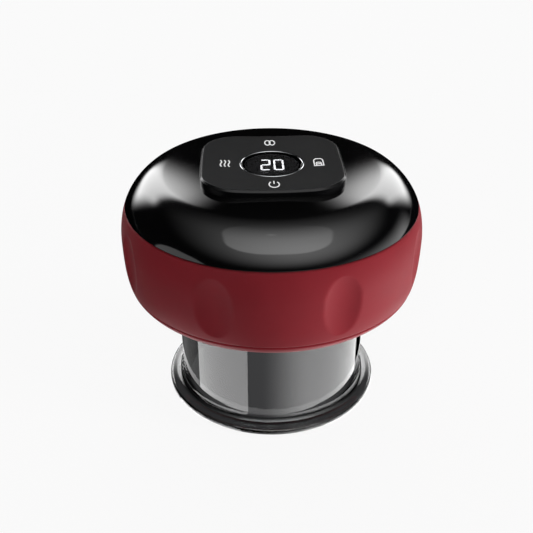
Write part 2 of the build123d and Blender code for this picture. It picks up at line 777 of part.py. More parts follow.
with BuildPart() as pump_cap:
    with Locations(pump_plane(diaphragm_x + diaphragm_t)):
        Cylinder(head_r, cap_len, align=up)
    fillet(pump_cap.faces().sort_by(Axis.X)[-1].edges(), head_wall / 2)
    with Locations(pump_plane(head_end)):
        Cylinder(barb_r, barb_len, align=up)
        with Locations((0, -head_r / 2)):
            Cylinder(barb_r, barb_len / 2, align=up)
        Cylinder(barb_r / 2, barb_len, align=up, mode=Mode.SUBTRACT)
keep(pump_cap.part, "pump_cap")

# Release valve: base with a barb, bent frame, coil, plunger that lifts, spring over it
valve_base_top = chassis_top + valve_base_h
valve_barb_z = chassis_top + valve_base_h / 2
valve_top = valve_base_top + coil_h + 2 * valve_sheet
valve_pin_low = valve_base_top - valve_stroke
with BuildPart() as valve_base:
    with Locations((valve_x, valve_y, chassis_top)):
        Box(valve_w, valve_d, valve_base_h, align=up)
    with Locations((valve_x, valve_y, valve_barb_z)):
        Cylinder(coil_bore, valve_base_h, align=up, mode=Mode.SUBTRACT)
    with Locations(Plane(origin=(valve_x + valve_w / 2, valve_y, valve_barb_z), z_dir=(1, 0, 0))):
        Cylinder(barb_r, barb_len, align=up)
keep(valve_base.part, "valve_base")

with BuildPart() as valve_frame:
    with Locations((valve_x, valve_y, valve_base_top)):
        Box(valve_w, valve_d, valve_top - valve_base_top, align=up)
    with Locations((valve_x + valve_sheet, valve_y, valve_base_top + valve_sheet)):
        Box(valve_w, valve_d, coil_h, align=up, mode=Mode.SUBTRACT)
    with Locations((valve_x, valve_y, valve_base_top)):
        Cylinder(coil_bore, valve_sheet, align=up, mode=Mode.SUBTRACT)
keep(valve_frame.part, "valve_frame")

with BuildPart() as valve_coil:
    with Locations((valve_x, valve_y, valve_base_top + valve_sheet)):
        Cylinder(coil_r, valve_sheet, align=up)
        Cylinder(coil_r - valve_sheet / 2, coil_h, align=up)
    with Locations((valve_x, valve_y, valve_top - valve_sheet)):
        Cylinder(coil_r, valve_sheet, align=down)
    with Locations((valve_x, valve_y, valve_base_top + valve_sheet)):
        Cylinder(coil_bore, coil_h, align=up, mode=Mode.SUBTRACT)
keep(valve_coil.part, "valve_coil")

with BuildPart() as valve_plunger:
    with Locations((valve_x, valve_y, valve_pin_low)):
        Cylinder(valve_pin_r, valve_pin_h, align=up)
    chamfer(valve_plunger.faces().sort_by(Axis.Z)[0].edges(), valve_sheet / 2)
keep(valve_plunger.part, "valve_plunger")

valve_pin_top = valve_pin_low + valve_pin_h
with BuildPart() as valve_spring:
    with Locations((valve_x, valve_y, valve_pin_top)):
        Cylinder(spring_out_r, valve_top - valve_sheet - valve_pin_top, align=up)
        Cylinder(spring_out_r - spring_wall, valve_top, align=up, mode=Mode.SUBTRACT)
keep(valve_spring.part, "valve_spring")

# Air manifold: foot on the chassis, head with four barbs, and the pressure sensor above it
manifold_mid_y = (manifold_back_y + manifold_front_y) / 2
manifold_top = pump_z + manifold_head_h / 2
foot_x = manifold_x + manifold_l - manifold_foot / 2
sensor_x = manifold_x + manifold_l / 2
sensor_low = board_low - sensor_h
with BuildPart() as air_manifold:
    with Locations((sensor_x, manifold_mid_y, manifold_top)):
        Box(manifold_l, manifold_front_y - manifold_back_y, manifold_head_h, align=down)
    with Locations((foot_x, manifold_mid_y, chassis_top)):
        Box(manifold_foot, manifold_front_y - manifold_back_y, manifold_top - chassis_top, align=up)
    with Locations((riser_x, 0, manifold_top - manifold_head_h)):
        Cylinder(barb_r, barb_len, align=down)
    with Locations(Plane(origin=(manifold_x, pump_y, pump_z), z_dir=(-1, 0, 0))):
        Cylinder(barb_r, barb_len, align=up)
    with Locations(Plane(origin=(foot_x, manifold_back_y, valve_barb_z), z_dir=(0, -1, 0))):
        Cylinder(barb_r, barb_len, align=up)
    with Locations((sensor_x, manifold_mid_y, manifold_top)):
        Cylinder(barb_r, sensor_barb, align=up)
keep(air_manifold.part, "air_manifold")

with BuildPart() as pressure_sensor:
    with Locations((sensor_x, manifold_mid_y, sensor_low)):
        Box(sensor_side, sensor_side, sensor_h, align=up)
        Cylinder(barb_r, sensor_barb, align=down)
keep(pressure_sensor.part, "pressure_sensor")

# Hoses: each slips over a barb at either end
riser_top = manifold_top - manifold_head_h - hose_end_gap
suction_route = [
    (elbow_foot_r + hose_end_gap, 0, elbow_z),
    (riser_x, 0, elbow_z),
    (riser_x, 0, riser_top),
]
valve_route = [
    (foot_x, manifold_back_y - hose_end_gap, valve_barb_z),
    (foot_x, valve_y, valve_barb_z),
    (valve_x + valve_w / 2 + hose_end_gap, valve_y, valve_barb_z),
]
pump_route = [(head_end + hose_end_gap, pump_y, pump_z), (manifold_x - hose_end_gap, pump_y, pump_z)]
sensor_route = [
    (sensor_x, manifold_mid_y, manifold_top + hose_end_gap),
    (sensor_x, manifold_mid_y, sensor_low - hose_end_gap),
]


def bend_radius(route):
    # As large as the runs allow at the one corner of a hose
    (x0, y0, z0), (x1, y1, z1), (x2, y2, z2) = route
    return 0.45 * min(hypot(x1 - x0, y1 - y0, z1 - z0), hypot(x2 - x1, y2 - y1, z2 - z1))


keep(tube(suction_route, bend_radius(suction_route), hose_r, hose_bore), "suction_hose")
keep(tube(valve_route, bend_radius(valve_route), hose_r, hose_bore), "valve_hose")


def straight_hose(route):
    start, end = Vector(*route[0]), Vector(*route[1])
    with BuildPart() as run:
        with BuildSketch(Plane(origin=start, z_dir=end - start)):
            Circle(hose_r)
            Circle(hose_bore, mode=Mode.SUBTRACT)
        extrude(amount=(end - start).length)
    return run.part


keep(straight_hose(pump_route), "pump_hose")
keep(straight_hose(sensor_route), "sensor_hose")

# Main board on its three posts, key switches and display module on top of it
with BuildPart() as main_board:
    with Locations((0, 0, board_low)):
        Cylinder(board_r, board_t, align=up)
    with Locations(*ring_points(board_post_ring, board_post_angles, board_low)):
        Cylinder(pilot_r, board_t, align=up, mode=Mode.SUBTRACT)
keep(main_board.part, "main_board")

keys = {
    "power": (0, -icon_y),
    "mode": (0, icon_y),
    "heat": (-icon_x, 0),
    "cupping": (icon_x, 0),
}
with BuildPart() as key_switches:
    for x, y in keys.values():
        with Locations((x, y, board_top)):
            Box(switch_side, switch_side, switch_h, align=up)
        with Locations((x, y, switch_top)):
            Cylinder(plunger_r + seal_fit, plunger_depth + key_travel, align=down, mode=Mode.SUBTRACT)
keep(key_switches.part, "key_switches")

for key, (x, y) in keys.items():
    with BuildPart() as plunger:
        with Locations((x, y, switch_top - plunger_depth)):
            Cylinder(plunger_r, plate_low - key_gap - switch_top + plunger_depth, align=up)
        chamfer(plunger.faces().sort_by(Axis.Z)[-1].edges(), seal_fit)
    keep(plunger.part, f"{key}_plunger")

module_top = lens_low - module_gap - segment_t
with BuildPart() as display_module:
    with Locations((0, 0, board_top)):
        Box(module_x, module_y, module_top - board_top, align=up)
keep(display_module.part, "display_module")


def segment(length):
    # One bar of a digit, lying along X, with pointed ends
    half, tip = length / 2, stroke / 2
    with BuildSketch() as bar:
        with BuildLine():
            Polyline(
                (-half, 0), (tip - half, tip), (half - tip, tip),
                (half, 0), (half - tip, -tip), (tip - half, -tip), (-half, 0),
            )
        make_face()
    return bar.sketch


# Bars of a digit, lettered as usual: a on top, clockwise to f, g in the middle
across = segment(digit_w - stroke - segment_gap)
upright = Rot(0, 0, 90) * segment((digit_h - stroke) / 2 - segment_gap)
bar_x, bar_y = (digit_w - stroke) / 2, (digit_h - stroke) / 2
bars = {
    "a": Pos(0, bar_y) * across,
    "b": Pos(bar_x, bar_y / 2) * upright,
    "c": Pos(bar_x, -bar_y / 2) * upright,
    "d": Pos(0, -bar_y) * across,
    "e": Pos(-bar_x, -bar_y / 2) * upright,
    "f": Pos(-bar_x, bar_y / 2) * upright,
    "g": across,
}
with BuildPart() as display_segments:
    for side, lit in ((-1, "abged"), (1, "abcdef")):
        with BuildSketch(Plane.XY.offset(module_top)):
            for bar in lit:
                add(Pos(side * (digit_w + digit_gap) / 2, 0) * bars[bar])
        extrude(amount=segment_t)
keep(display_segments.part, "display_segments")

with BuildPart() as display_lens:
    with Locations((0, 0, lens_low)):
        Cylinder(lens_r, lens_t, align=up)
    fillet(display_lens.faces().sort_by(Axis.Z)[-1].edges(), lens_rise)
keep(display_lens.part, "display_lens")

with BuildPart() as display_ring:
    with BuildSketch(Plane.XY.offset(lens_low)):
        Circle(lens_r + ring_w)
        Circle(lens_r + screen_fit, mode=Mode.SUBTRACT)
    extrude(amount=panel_z + ring_rise - lens_low)
    fillet(display_ring.faces().sort_by(Axis.Z)[-1].edges(), ring_w / 4)
keep(display_ring.part, "display_ring")

# Icons: power, mode, heat and cupping, let into the face of the panel
wave_step = icon_w / 3


def power_icon():
    with BuildSketch() as icon:
        Circle(icon_w / 2)
        Circle(icon_w / 2 - icon_line, mode=Mode.SUBTRACT)
        with Locations((0, icon_w / 2)):
            Rectangle(3 * icon_line, icon_w / 2, mode=Mode.SUBTRACT)
        with Locations((0, icon_w / 4)):
            Rectangle(icon_line, icon_w / 2)
    return icon.sketch


def mode_icon():
    lobe = icon_w / 3.6
    with BuildSketch() as icon:
        with GridLocations(2 * lobe - icon_line, 0, 2, 1):
            Circle(lobe)
        with GridLocations(2 * lobe - icon_line, 0, 2, 1):
            Circle(lobe - icon_line, mode=Mode.SUBTRACT)
    return icon.sketch


def heat_icon():
    with BuildSketch() as icon:
        for i in (-1, 0, 1):
            x, sway, high = i * wave_step, wave_step / 3, icon_w / 2
            with BuildLine():
                ThreePointArc((x, -high), (x + sway, -high / 2), (x, 0))
                ThreePointArc((x, 0), (x - sway, high / 2), (x, high))
            trace(line_width=icon_line)
    return icon.sketch


def cupping_icon():
    side, high = icon_w / 2, icon_w / 2.4
    with BuildSketch() as icon:
        for inset, mode in ((0, Mode.ADD), (icon_line, Mode.SUBTRACT)):
            with BuildLine():
                arch = ThreePointArc((inset - side, 0), (0, high - inset), (side - inset, 0))
                Polyline(arch @ 1, (side - inset, inset - high), (inset - side, inset - high), arch @ 0)
            make_face(mode=mode)
        Rectangle(icon_w / 2, icon_line)
    return icon.sketch


icon_shapes = {"power": power_icon(), "mode": mode_icon(), "heat": heat_icon(), "cupping": cupping_icon()}
icon_floor = panel_z + icon_y ** 2 / panel_dish_r / 2 - icon_depth

# Panel: plate with a skirt on the dome, dished face, stepped hole for lens and ring
with BuildPart() as panel_stock_plate:
    with BuildSketch(Plane.XY.offset(crown_z)):
        add(panel_outline(0))
    extrude(amount=panel_stock)
    with Locations((0, 0, panel_z + panel_dish_r)):
        Sphere(panel_dish_r, mode=Mode.SUBTRACT)
    dish = panel_stock_plate.faces().filter_by(GeomType.SPHERE)[0]
    chamfer(dish.outer_wire().edges(), panel_chamfer)

with BuildPart() as icon_windows:
    for key, shape in icon_shapes.items():
        with BuildSketch(Plane.XY.offset(icon_floor)):
            add(Pos(*keys[key]) * scale(shape, by=(1, icon_stretch_share, 1)))
        extrude(amount=panel_stock)
    add(panel_stock_plate.part, mode=Mode.INTERSECT)
keep(icon_windows.part, "icon_windows")

rib_low = crown_z - dome_wall
with BuildPart() as control_panel:
    add(panel_stock_plate.part)
    with BuildSketch(Plane.XY.offset(rib_low)):
        add(panel_outline(panel_rim + window_fit))
    extrude(amount=dome_wall)
    with BuildSketch(Plane.XY.offset(rib_low)):
        add(panel_outline(panel_rim + window_fit + panel_key_rib))
    extrude(amount=plate_low - rib_low, mode=Mode.SUBTRACT)
    with Locations((0, 0, lens_low)):
        Cylinder(lens_r + ring_w + screen_fit, panel_stock, align=up, mode=Mode.SUBTRACT)
        Cylinder(lens_r - lens_ledge, 2 * panel_stock, mode=Mode.SUBTRACT)
    add(icon_windows.part, mode=Mode.SUBTRACT)
keep(control_panel.part, "control_panel")

# Parts under the main board
with BuildPart() as board_parts:
    with Locations((cell_plug_x, cell_y, board_low), (motor_plug_x, motor_plug_y, board_low)):
        Box(plug_side, plug_side, plug_h, align=down)
    with Locations((-chip_x, chip_y, board_low)):
        Box(chip_side, chip_side, chip_h, align=down)
    with Locations((chip_x, chip_y, board_low)):
        Box(coil_side, coil_side, coil_part_h, align=down)
keep(board_parts.part, "board_parts")

with BuildPart() as buzzer:
    with Locations((buzzer_x, buzzer_in - board_r, board_low)):
        Cylinder(buzzer_r, buzzer_h, align=down)
        Cylinder(screw_r, 2 * buzzer_h, mode=Mode.SUBTRACT)
keep(buzzer.part, "buzzer")

# Charging board, its socket, and the frame that fills the opening in the band
with BuildPart() as charge_board:
    with Locations((0, charge_mid_y, charge_low)):
        Box(charge_board_w, charge_board_l, charge_board_t, align=up)
keep(charge_board.part, "charge_board")

socket_plane = Plane(origin=(0, charge_y, port_z), x_dir=(1, 0, 0), z_dir=(0, 1, 0))
with BuildPart() as usb_socket:
    with BuildSketch(socket_plane):
        SlotOverall(socket_w, socket_h)
    extrude(amount=-socket_len)
    with BuildSketch(socket_plane):
        SlotOverall(socket_w - 2 * socket_wall, socket_h - 2 * socket_wall)
        Rectangle(socket_w * 3 / 4, 2 * socket_wall, mode=Mode.SUBTRACT)
    extrude(amount=socket_wall - socket_len, mode=Mode.SUBTRACT)
keep(usb_socket.part, "usb_socket")

band_in_r = skin_radius(port_z, band_wall)
lip_half = frame_w / 2 + 2 * frame_lip
frame_back = (band_in_r ** 2 - lip_half ** 2) ** 0.5 - shell_fit
with BuildPart() as port_frame:
    with BuildSketch(Plane(origin=(0, port_skin, port_z), x_dir=(1, 0, 0), z_dir=(0, 1, 0))):
        SlotOverall(frame_w - 2 * screen_fit, frame_h - 2 * screen_fit)
    extrude(amount=frame_back - port_skin)
    add(skin_form(0, port_z - frame_h, port_z + frame_h), mode=Mode.INTERSECT)
    with BuildSketch(Plane(origin=(0, frame_back, port_z), x_dir=(1, 0, 0), z_dir=(0, 1, 0))):
        SlotOverall(2 * lip_half, frame_h + 4 * frame_lip)
    extrude(amount=-3 * frame_lip)
    with BuildSketch(port_plane):
        SlotOverall(socket_w + 2 * shell_fit, socket_h + 2 * shell_fit)
    extrude(amount=-2 * socket_len, mode=Mode.SUBTRACT)
keep(port_frame.part, "port_frame")

# Screws: case screws from below, small screws for seat, board and dome
head_up = screw(screw_len)
with BuildPart() as case_screws:
    for x, y, z in case_screw_places:
        add(Pos(x, y, z + head_recess) * Rot(180, 0, 0) * head_up)
keep(case_screws.part, "case_screws")

with BuildPart() as small_screws:
    for place in ring_points(seat_screw_ring, seat_screw_angles, seat_top):
        add(Pos(*place) * head_up)
    for place in ring_points(board_post_ring, board_post_angles, board_top):
        add(Pos(*place) * head_up)
    for place in ring_points(dome_post_ring, dome_post_angles, chassis_low):
        add(Pos(*place) * Rot(180, 0, 0) * head_up)
keep(small_screws.part, "small_screws")

# Leads of the cell and of the motor, each from its terminal to its plug under the main board
cell_end = cell_len / 2 + cell_pole_h + lead_r
lead_apart = 2 * lead_r + shell_fit
plug_mid = board_low - plug_h / 2
cell_plug_left = cell_plug_x - plug_side / 2
cell_plug_right = cell_plug_x + plug_side / 2
over_cell_z = cell_z + cell_r + lead_clear
over_motor_z = pump_z + motor_r + lead_clear
terminal_x = motor_back_x - terminal_reach - lead_r
motor_plug_left = motor_plug_x - plug_side / 2
lead_routes = {
    "battery_leads": (
        [
            (cell_end, cell_y - lead_apart, cell_z - lead_apart),
            (cell_end, cell_y - lead_apart, plug_mid),
            (cell_plug_right, cell_y - lead_apart, plug_mid),
        ],
        [
            (-cell_end, cell_y + lead_apart, cell_z - lead_apart),
            (-cell_end, cell_y + lead_apart, over_cell_z),
            (cell_plug_left, cell_y + lead_apart, over_cell_z),
        ],
    ),
    "motor_leads": (
        [
            (terminal_x, pump_y - terminal_apart / 2, pump_z - lead_r),
            (terminal_x, pump_y - terminal_apart / 2, over_motor_z - 2 * lead_apart),
            (motor_plug_left - plug_side / 2, motor_plug_y - lead_apart, over_motor_z - 2 * lead_apart),
            (motor_plug_left, motor_plug_y - lead_apart, over_motor_z - 2 * lead_apart),
        ],
        [
            (terminal_x, pump_y + terminal_apart / 2, pump_z - lead_r),
            (terminal_x, pump_y + terminal_apart / 2, over_motor_z),
            (motor_plug_left - plug_side / 2, motor_plug_y + lead_apart, over_motor_z),
            (motor_plug_left, motor_plug_y + lead_apart, over_motor_z),
        ],
    ),
}
for name, routes in lead_routes.items():
    with BuildPart() as leads:
        for route in routes:
            runs = [(Vector(*b) - Vector(*a)).length for a, b in zip(route, route[1:])]
            add(tube(route, [min(lead_bend, 0.45 * min(pair)) for pair in zip(runs, runs[1:])], lead_r))
    keep(leads.part, name)
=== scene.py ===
import bmesh
import bpy
import json
from cmath import phase, rect
from math import acos, asin, atan2, cos, hypot, pi, radians, sin, tan
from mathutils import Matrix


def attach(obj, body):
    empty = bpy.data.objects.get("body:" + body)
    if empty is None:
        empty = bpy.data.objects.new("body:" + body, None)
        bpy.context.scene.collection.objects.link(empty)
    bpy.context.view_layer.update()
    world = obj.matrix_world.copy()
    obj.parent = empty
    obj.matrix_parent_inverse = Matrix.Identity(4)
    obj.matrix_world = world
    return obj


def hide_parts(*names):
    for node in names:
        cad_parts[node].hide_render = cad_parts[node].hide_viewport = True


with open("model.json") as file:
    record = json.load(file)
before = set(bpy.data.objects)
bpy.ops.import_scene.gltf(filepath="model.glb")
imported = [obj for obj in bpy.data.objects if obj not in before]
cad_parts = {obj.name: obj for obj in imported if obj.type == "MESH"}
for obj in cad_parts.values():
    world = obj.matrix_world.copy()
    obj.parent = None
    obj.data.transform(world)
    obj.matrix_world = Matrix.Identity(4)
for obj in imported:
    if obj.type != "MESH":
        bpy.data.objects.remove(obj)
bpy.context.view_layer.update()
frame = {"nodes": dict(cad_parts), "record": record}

# Electric cupping massager: red grip band and gloss dome over a clear cup, seen from the front and above
nodes = frame["nodes"]
mm = 0.001
weld = 1e-6  # metres; points nearer than this are one
white = (1, 1, 1, 1)
black = (0, 0, 0, 1)
print("frame loaded:", len(nodes), "CAD nodes")


def linear(hexColour):
    # sRGB hex to the linear values that shaders take
    tones = [int(hexColour[i:i + 2], 16) / 255 for i in (1, 3, 5)]
    return [t / 12.92 if t <= 0.04045 else ((t + 0.055) / 1.055) ** 2.4 for t in tones] + [1.0]


def addNode(tree, kind, values=None):
    # One node. Names in small letters are the node's own settings; the others are its inputs, and each takes
    # a value, a socket or the first output of another node
    node = tree.nodes.new(kind)
    settings = {name: value for name, value in (values or {}).items() if str(name)[0].islower()}
    for name, value in settings.items():
        setattr(node, name, value)
    for name, value in (values or {}).items():
        if name in settings:
            continue
        if isinstance(value, bpy.types.Node):
            value = value.outputs[0]
        if isinstance(value, bpy.types.NodeSocket):
            tree.links.new(value, node.inputs[name])
        else:
            node.inputs[name].default_value = value
    return node


def newMaterial(name):
    material = bpy.data.materials.new(name)
    material.use_nodes = True
    material.node_tree.nodes.clear()
    return material, material.node_tree


def newObject(name, data):
    made = bpy.data.objects.new(name, data)
    bpy.context.scene.collection.objects.link(made)
    return made


def joined(name, places, faces, finish, unit=mm):
    # A piece from its points, in millimetres unless another unit is given, and its faces
    mesh = bpy.data.meshes.new(name)
    mesh.from_pydata([[c * unit for c in place] for place in places], [], faces)
    mesh.materials.append(finish)
    return newObject(name, mesh)


def standAt(radius, turn):
    # Place on a circle round the body, turned from the front
    return radius * sin(turn), -radius * cos(turn)


# Camera, fitted to the photograph; the focal length is in pixels of its width
camera = {"distance": 270.4 * mm, "height": 207.3 * mm, "pitch": 30.5, "turn": -2.6, "aim": 0.395,
          "focal": 830.0, "frameWidth": 533, "sensor": 36.0, "nearest": 0.01}


def placeCamera():
    data = bpy.data.cameras.new("camera")
    data.sensor_width = camera["sensor"]
    data.lens = camera["focal"] * camera["sensor"] / camera["frameWidth"]
    data.clip_start = camera["nearest"]
    eye = newObject("camera", data)
    eye.location = (*standAt(camera["distance"], radians(camera["turn"])), camera["height"])
    eye.rotation_euler = (radians(90 - camera["pitch"]), 0, radians(camera["turn"] + camera["aim"]))
    bpy.context.scene.camera = eye


placeCamera()

# Studio: white floor, cards that the gloss reflects, and soft lamps; angles in degrees, turned from the front
studio = {
    "floorSize": 12.0,
    "floorDrop": 0.05 * mm,
    "floorShine": 0.92,
    "skyColour": "#0c0c0c",
    "ringRadius": 1.3,
    "eyeHeight": 0.08,
    "roofHeight": 1.0,
    "tableHeight": 0.2 * mm,
    "footRadius": 35.2 * mm,
    "cardSteps": 24,
    "paperFibre": mm / 0.9,
}
sharpSides = (0.0001,) * 4
# Four values stand for a card's corners: low left, low right, high left, high right. Fades are shares of its
# width and height at each side, left, right, low and high; round is the middle of a round card with the
# softness of its edge. Velvet is black and hides what is behind it.
behind = {"rise": (4, -17, 38, 38), "fades": (0.24, 0.4, 0.4, 0.2), "round": (0.4, 0.7, 0.4), "level": 5.6}
cards = {
    # on the ring round the body
    "backLeft": {"turn": (-164, -126, -183, -119), **behind},
    "backRight": {"turn": (158, 124, 179, 115), **behind},
    "sideLeft": {"turn": (-94, -42, -94, -42), "rise": (-1, -1, 17, 17), "fades": (0.05, 0.04, 0.01, 0.1),
                 "round": (0.5, 0.001, 0.05), "level": 1.05},
    "sideRight": {"turn": (15, 125, 15, 125), "rise": (-2, -2, 18, 18), "fades": (0.6, 0.2, 0.01, 1.0),
                  "level": 2.0},
    # round the foot, to keep the floor out of the gloss
    "flag": {"turn": (-180, 180), "reach": (0.045, 5.95), "fades": sharpSides, "level": 0.0, "velvet": True},
    # round the whole studio, behind the other cards
    "drapes": {"turn": (-180, 180, -180, 180), "rise": (-1.2, -1.2, 88, 88), "fades": sharpSides,
               "level": 0.004, "velvet": True, "far": 7.0},
    # flat beside the foot, for the clear cup, its edge and the band: turn is along the cup's wall, and reach
    # is how far the wall's reflection of the camera's ray runs out
    "tableLeft": {"turn": (-52.4, -16.2), "reach": (0.005, 0.058), "fades": (0.01, 0.01, 0.01, 0.04),
                  "level": 3.4},
    "tableRight": {"turn": (-9, 64), "reach": (0.005, 0.075), "fades": (0.42, 0.03, 0.01, 0.1), "level": 3.1},
    "tableEdge": {"turn": (-84, -52.4), "reach": (0.005, 0.09), "fades": (0.5, 0.01, 0.01, 0.1),
                  "level": 0.3},
    "tableBand": {"turn": (-2, 68), "reach": (0.08, 0.24), "fades": (0.4, 0.6, 0.1, 0.3), "level": 5.4},
    # overhead, with its corners in plan
    "overheadGlow": {"corners": ((-2.8, -3.6), (4.0, -3.6), (-1.9, 1.7), (2.6, 1.7)), "lift": 0.02,
                     "fades": (0.5, 0.5, 0.5, 0.5), "round": (0.5, 0.55, 1.0), "level": 2.2},
    "overheadCard": {"corners": ((-0.85, -1.05), (1.05, -1.05), (-0.15, 0.75), (0.2, 0.75)), "lift": 0,
                     "fades": (0.05, 0.05, 0.05, 0.9), "round": (0.5, 0.42, 0.05), "level": 1.8},
}
lamps = {
    "key": {"turn": 74, "rise": 1, "distance": 0.9, "size": (0.3, 0.22), "level": 41.0},
    "left": {"turn": -34, "rise": 6, "distance": 0.9, "size": (0.2, 0.2), "level": 15.5},
    "front": {"turn": 8, "rise": 48, "distance": 1.0, "size": (0.9, 0.6), "level": 0.28},
    "rear": {"turn": 180, "rise": 35, "distance": 1.0, "size": (1.2, 0.6), "level": 1.3},
    "roof": {"turn": 0, "rise": 90, "distance": 1.8, "size": (2.4, 2.4), "level": 0.45},
}


def seenShare(tree):
    # 1 for rays that look at the background: straight, by a reflection or through something clear
    ray = addNode(tree, "ShaderNodeLightPath").outputs
    seen = addNode(tree, "ShaderNodeMath",
                   {"operation": "MAXIMUM", 0: ray["Is Camera Ray"], 1: ray["Is Glossy Ray"]})
    return addNode(tree, "ShaderNodeMath", {"operation": "MAXIMUM", 0: seen, 1: ray["Is Transmission Ray"]})


def floorPaint():
    # White paper: matt, so that it shows only the soft shadow under the flange
    material, tree = newMaterial("white_paper_floor")
    place = addNode(tree, "ShaderNodeTexCoord").outputs["Object"]
    fibre = addNode(tree, "ShaderNodeTexNoise",
                    {"Scale": 1 / studio["paperFibre"], "Detail": 2.0, "Vector": place})
    tone = addNode(tree, "ShaderNodeMix",
                   {"data_type": "RGBA", "Factor": fibre, 6: linear("#f2f2f2"), 7: linear("#f6f6f6")})
    matt = addNode(tree, "ShaderNodeBsdfDiffuse", {"Color": tone.outputs[2]})
    glow = addNode(tree, "ShaderNodeEmission", {"Color": white, "Strength": 1.0})
    share = addNode(tree, "ShaderNodeMath",
                    {"operation": "MULTIPLY", 0: seenShare(tree), 1: studio["floorShine"]})
    paper = addNode(tree, "ShaderNodeMixShader", {0: share, 1: matt, 2: glow})
    # seen from below the paper is clear, so that it doesn't hide the underside
    side = addNode(tree, "ShaderNodeNewGeometry").outputs["Backfacing"]
    clear = addNode(tree, "ShaderNodeBsdfTransparent")
    both = addNode(tree, "ShaderNodeMixShader", {0: side, 1: paper, 2: clear})
    addNode(tree, "ShaderNodeOutputMaterial", {"Surface": both})
    return material


def cardCloth(name, card):
    # Lit cloth: bright in the middle, fading towards its frame, which gives soft ends to reflections
    material, tree = newMaterial("lit_cloth_" + name)
    place = addNode(tree, "ShaderNodeUVMap", {"uv_map": "sheet"})
    parts = addNode(tree, "ShaderNodeSeparateXYZ", {0: place}).outputs
    shares = []
    for side, fade in enumerate(card["fades"]):
        start, end = (0, fade) if side % 2 == 0 else (1, 1 - fade)
        shares.append((parts[side // 2], start, end))
    if "round" in card:
        spans = []
        for axis, middle in enumerate(card["round"][:2]):
            down, up = [addNode(tree, "ShaderNodeMapRange", {"From Min": middle, "From Max": end,
                                                             "Value": parts[axis]}) for end in (0, 1)]
            spans.append(addNode(tree, "ShaderNodeMath", {"operation": "MAXIMUM", 0: down, 1: up}))
        out = addNode(tree, "ShaderNodeCombineXYZ", {"X": spans[0], "Y": spans[1]})
        out = addNode(tree, "ShaderNodeVectorMath", {"operation": "LENGTH", 0: out}).outputs["Value"]
        shares.append((out, 1, 1 - card["round"][2]))
    level = card["level"]
    for value, start, end in shares:
        ramp = addNode(tree, "ShaderNodeMapRange", {"interpolation_type": "SMOOTHSTEP", "From Min": start,
                                                    "From Max": end, "Value": value})
        level = addNode(tree, "ShaderNodeMath", {"operation": "MULTIPLY", 0: level, 1: ramp})
    glow = addNode(tree, "ShaderNodeEmission", {"Color": white, "Strength": level})
    through = addNode(tree, "ShaderNodeBsdfTransparent", {"Color": black if "velvet" in card else white})
    both = addNode(tree, "ShaderNodeAddShader", {0: glow, 1: through})
    addNode(tree, "ShaderNodeOutputMaterial", {"Surface": both})
    return material


def between(a, b, c, d, u, v):
    # A value inside a card from those at its four corners
    return (a * (1 - u) + b * u) * (1 - v) + (c * (1 - u) + d * u) * v


def cardPoint(card, u, v):
    # Where a card's point lies that is the share u across it and the share v up it
    if "corners" in card:
        x, y = [between(*[corner[k] for corner in card["corners"]], u, v) for k in (0, 1)]
        return x, y, studio["roofHeight"] + studio["eyeHeight"] + card["lift"]
    if "reach" in card:
        (left, right), (near, far) = card["turn"], card["reach"]
        turn, reach = radians(left + (right - left) * u), near + (far - near) * v
        if "velvet" in card:
            return (*standAt(reach, turn), studio["tableHeight"] / 2)
        # along the camera's ray to the cup's wall, as the wall mirrors it
        wallX, wallY = standAt(studio["footRadius"], turn)
        eyeX, eyeY = standAt(camera["distance"], radians(camera["turn"]))
        outX, outY = standAt(reach, 2 * turn - atan2(eyeX - wallX, wallY - eyeY))
        return wallX + outX, wallY + outY, studio["tableHeight"]
    turn, rise = [radians(between(*card[measure], u, v)) for measure in ("turn", "rise")]
    radius = card.get("far", studio["ringRadius"])
    return (*standAt(radius, turn), studio["eyeHeight"] + radius * tan(rise))


def placeCard(name, card):
    steps = studio["cardSteps"]
    shares = [(i / steps, j / steps) for i in range(steps + 1) for j in range(steps + 1)]
    starts = [i * (steps + 1) + j for i in range(steps) for j in range(steps)]
    faces = [(k, k + steps + 1, k + steps + 2, k + 1) for k in starts]
    sheet = joined(name, [cardPoint(card, u, v) for u, v in shares], faces, cardCloth(name, card), 1)
    layer = sheet.data.uv_layers.new(name="sheet")
    for loop in sheet.data.loops:
        layer.data[loop.index].uv = shares[loop.vertex_index]
    sheet.visible_camera = sheet.visible_diffuse = sheet.visible_shadow = False
    sheet.visible_transmission = "reach" not in card and "velvet" not in card


def placeLamp(name, lamp):
    data = bpy.data.lights.new(name, "AREA")
    data.shape = "RECTANGLE"
    data.size, data.size_y = lamp["size"]
    data.energy = lamp["level"] * pi * data.size * data.size_y
    light = newObject(name, data)
    turn, rise, far = radians(lamp["turn"]), radians(lamp["rise"]), lamp["distance"]
    light.location = (*standAt(far * cos(rise), turn), studio["eyeHeight"] + far * sin(rise))
    light.rotation_euler = (pi / 2 - rise, 0, turn)
    light.visible_camera = light.visible_glossy = light.visible_transmission = False


def placeStudio():
    half, low = studio["floorSize"] / 2, -studio["floorDrop"]
    corners = [(x * half, y * half, low) for x, y in ((-1, -1), (1, -1), (1, 1), (-1, 1))]
    joined("floor", corners, [(0, 1, 2, 3)], floorPaint(), 1)
    for name, card in cards.items():
        placeCard(name, card)
    for name, lamp in lamps.items():
        placeLamp(name, lamp)
    world = bpy.data.worlds.new("studio")
    world.use_nodes = True
    bpy.context.scene.world = world
    tree = world.node_tree
    tree.nodes.clear()
    tone = addNode(tree, "ShaderNodeMix",
                   {"data_type": "RGBA", "Factor": seenShare(tree), 6: linear(studio["skyColour"]), 7: white})
    sky = addNode(tree, "ShaderNodeBackground", {"Strength": 1.0, "Color": tone.outputs[2]})
    addNode(tree, "ShaderNodeOutputWorld", {"Surface": sky})
    bpy.context.scene.view_settings.view_transform = "Standard"


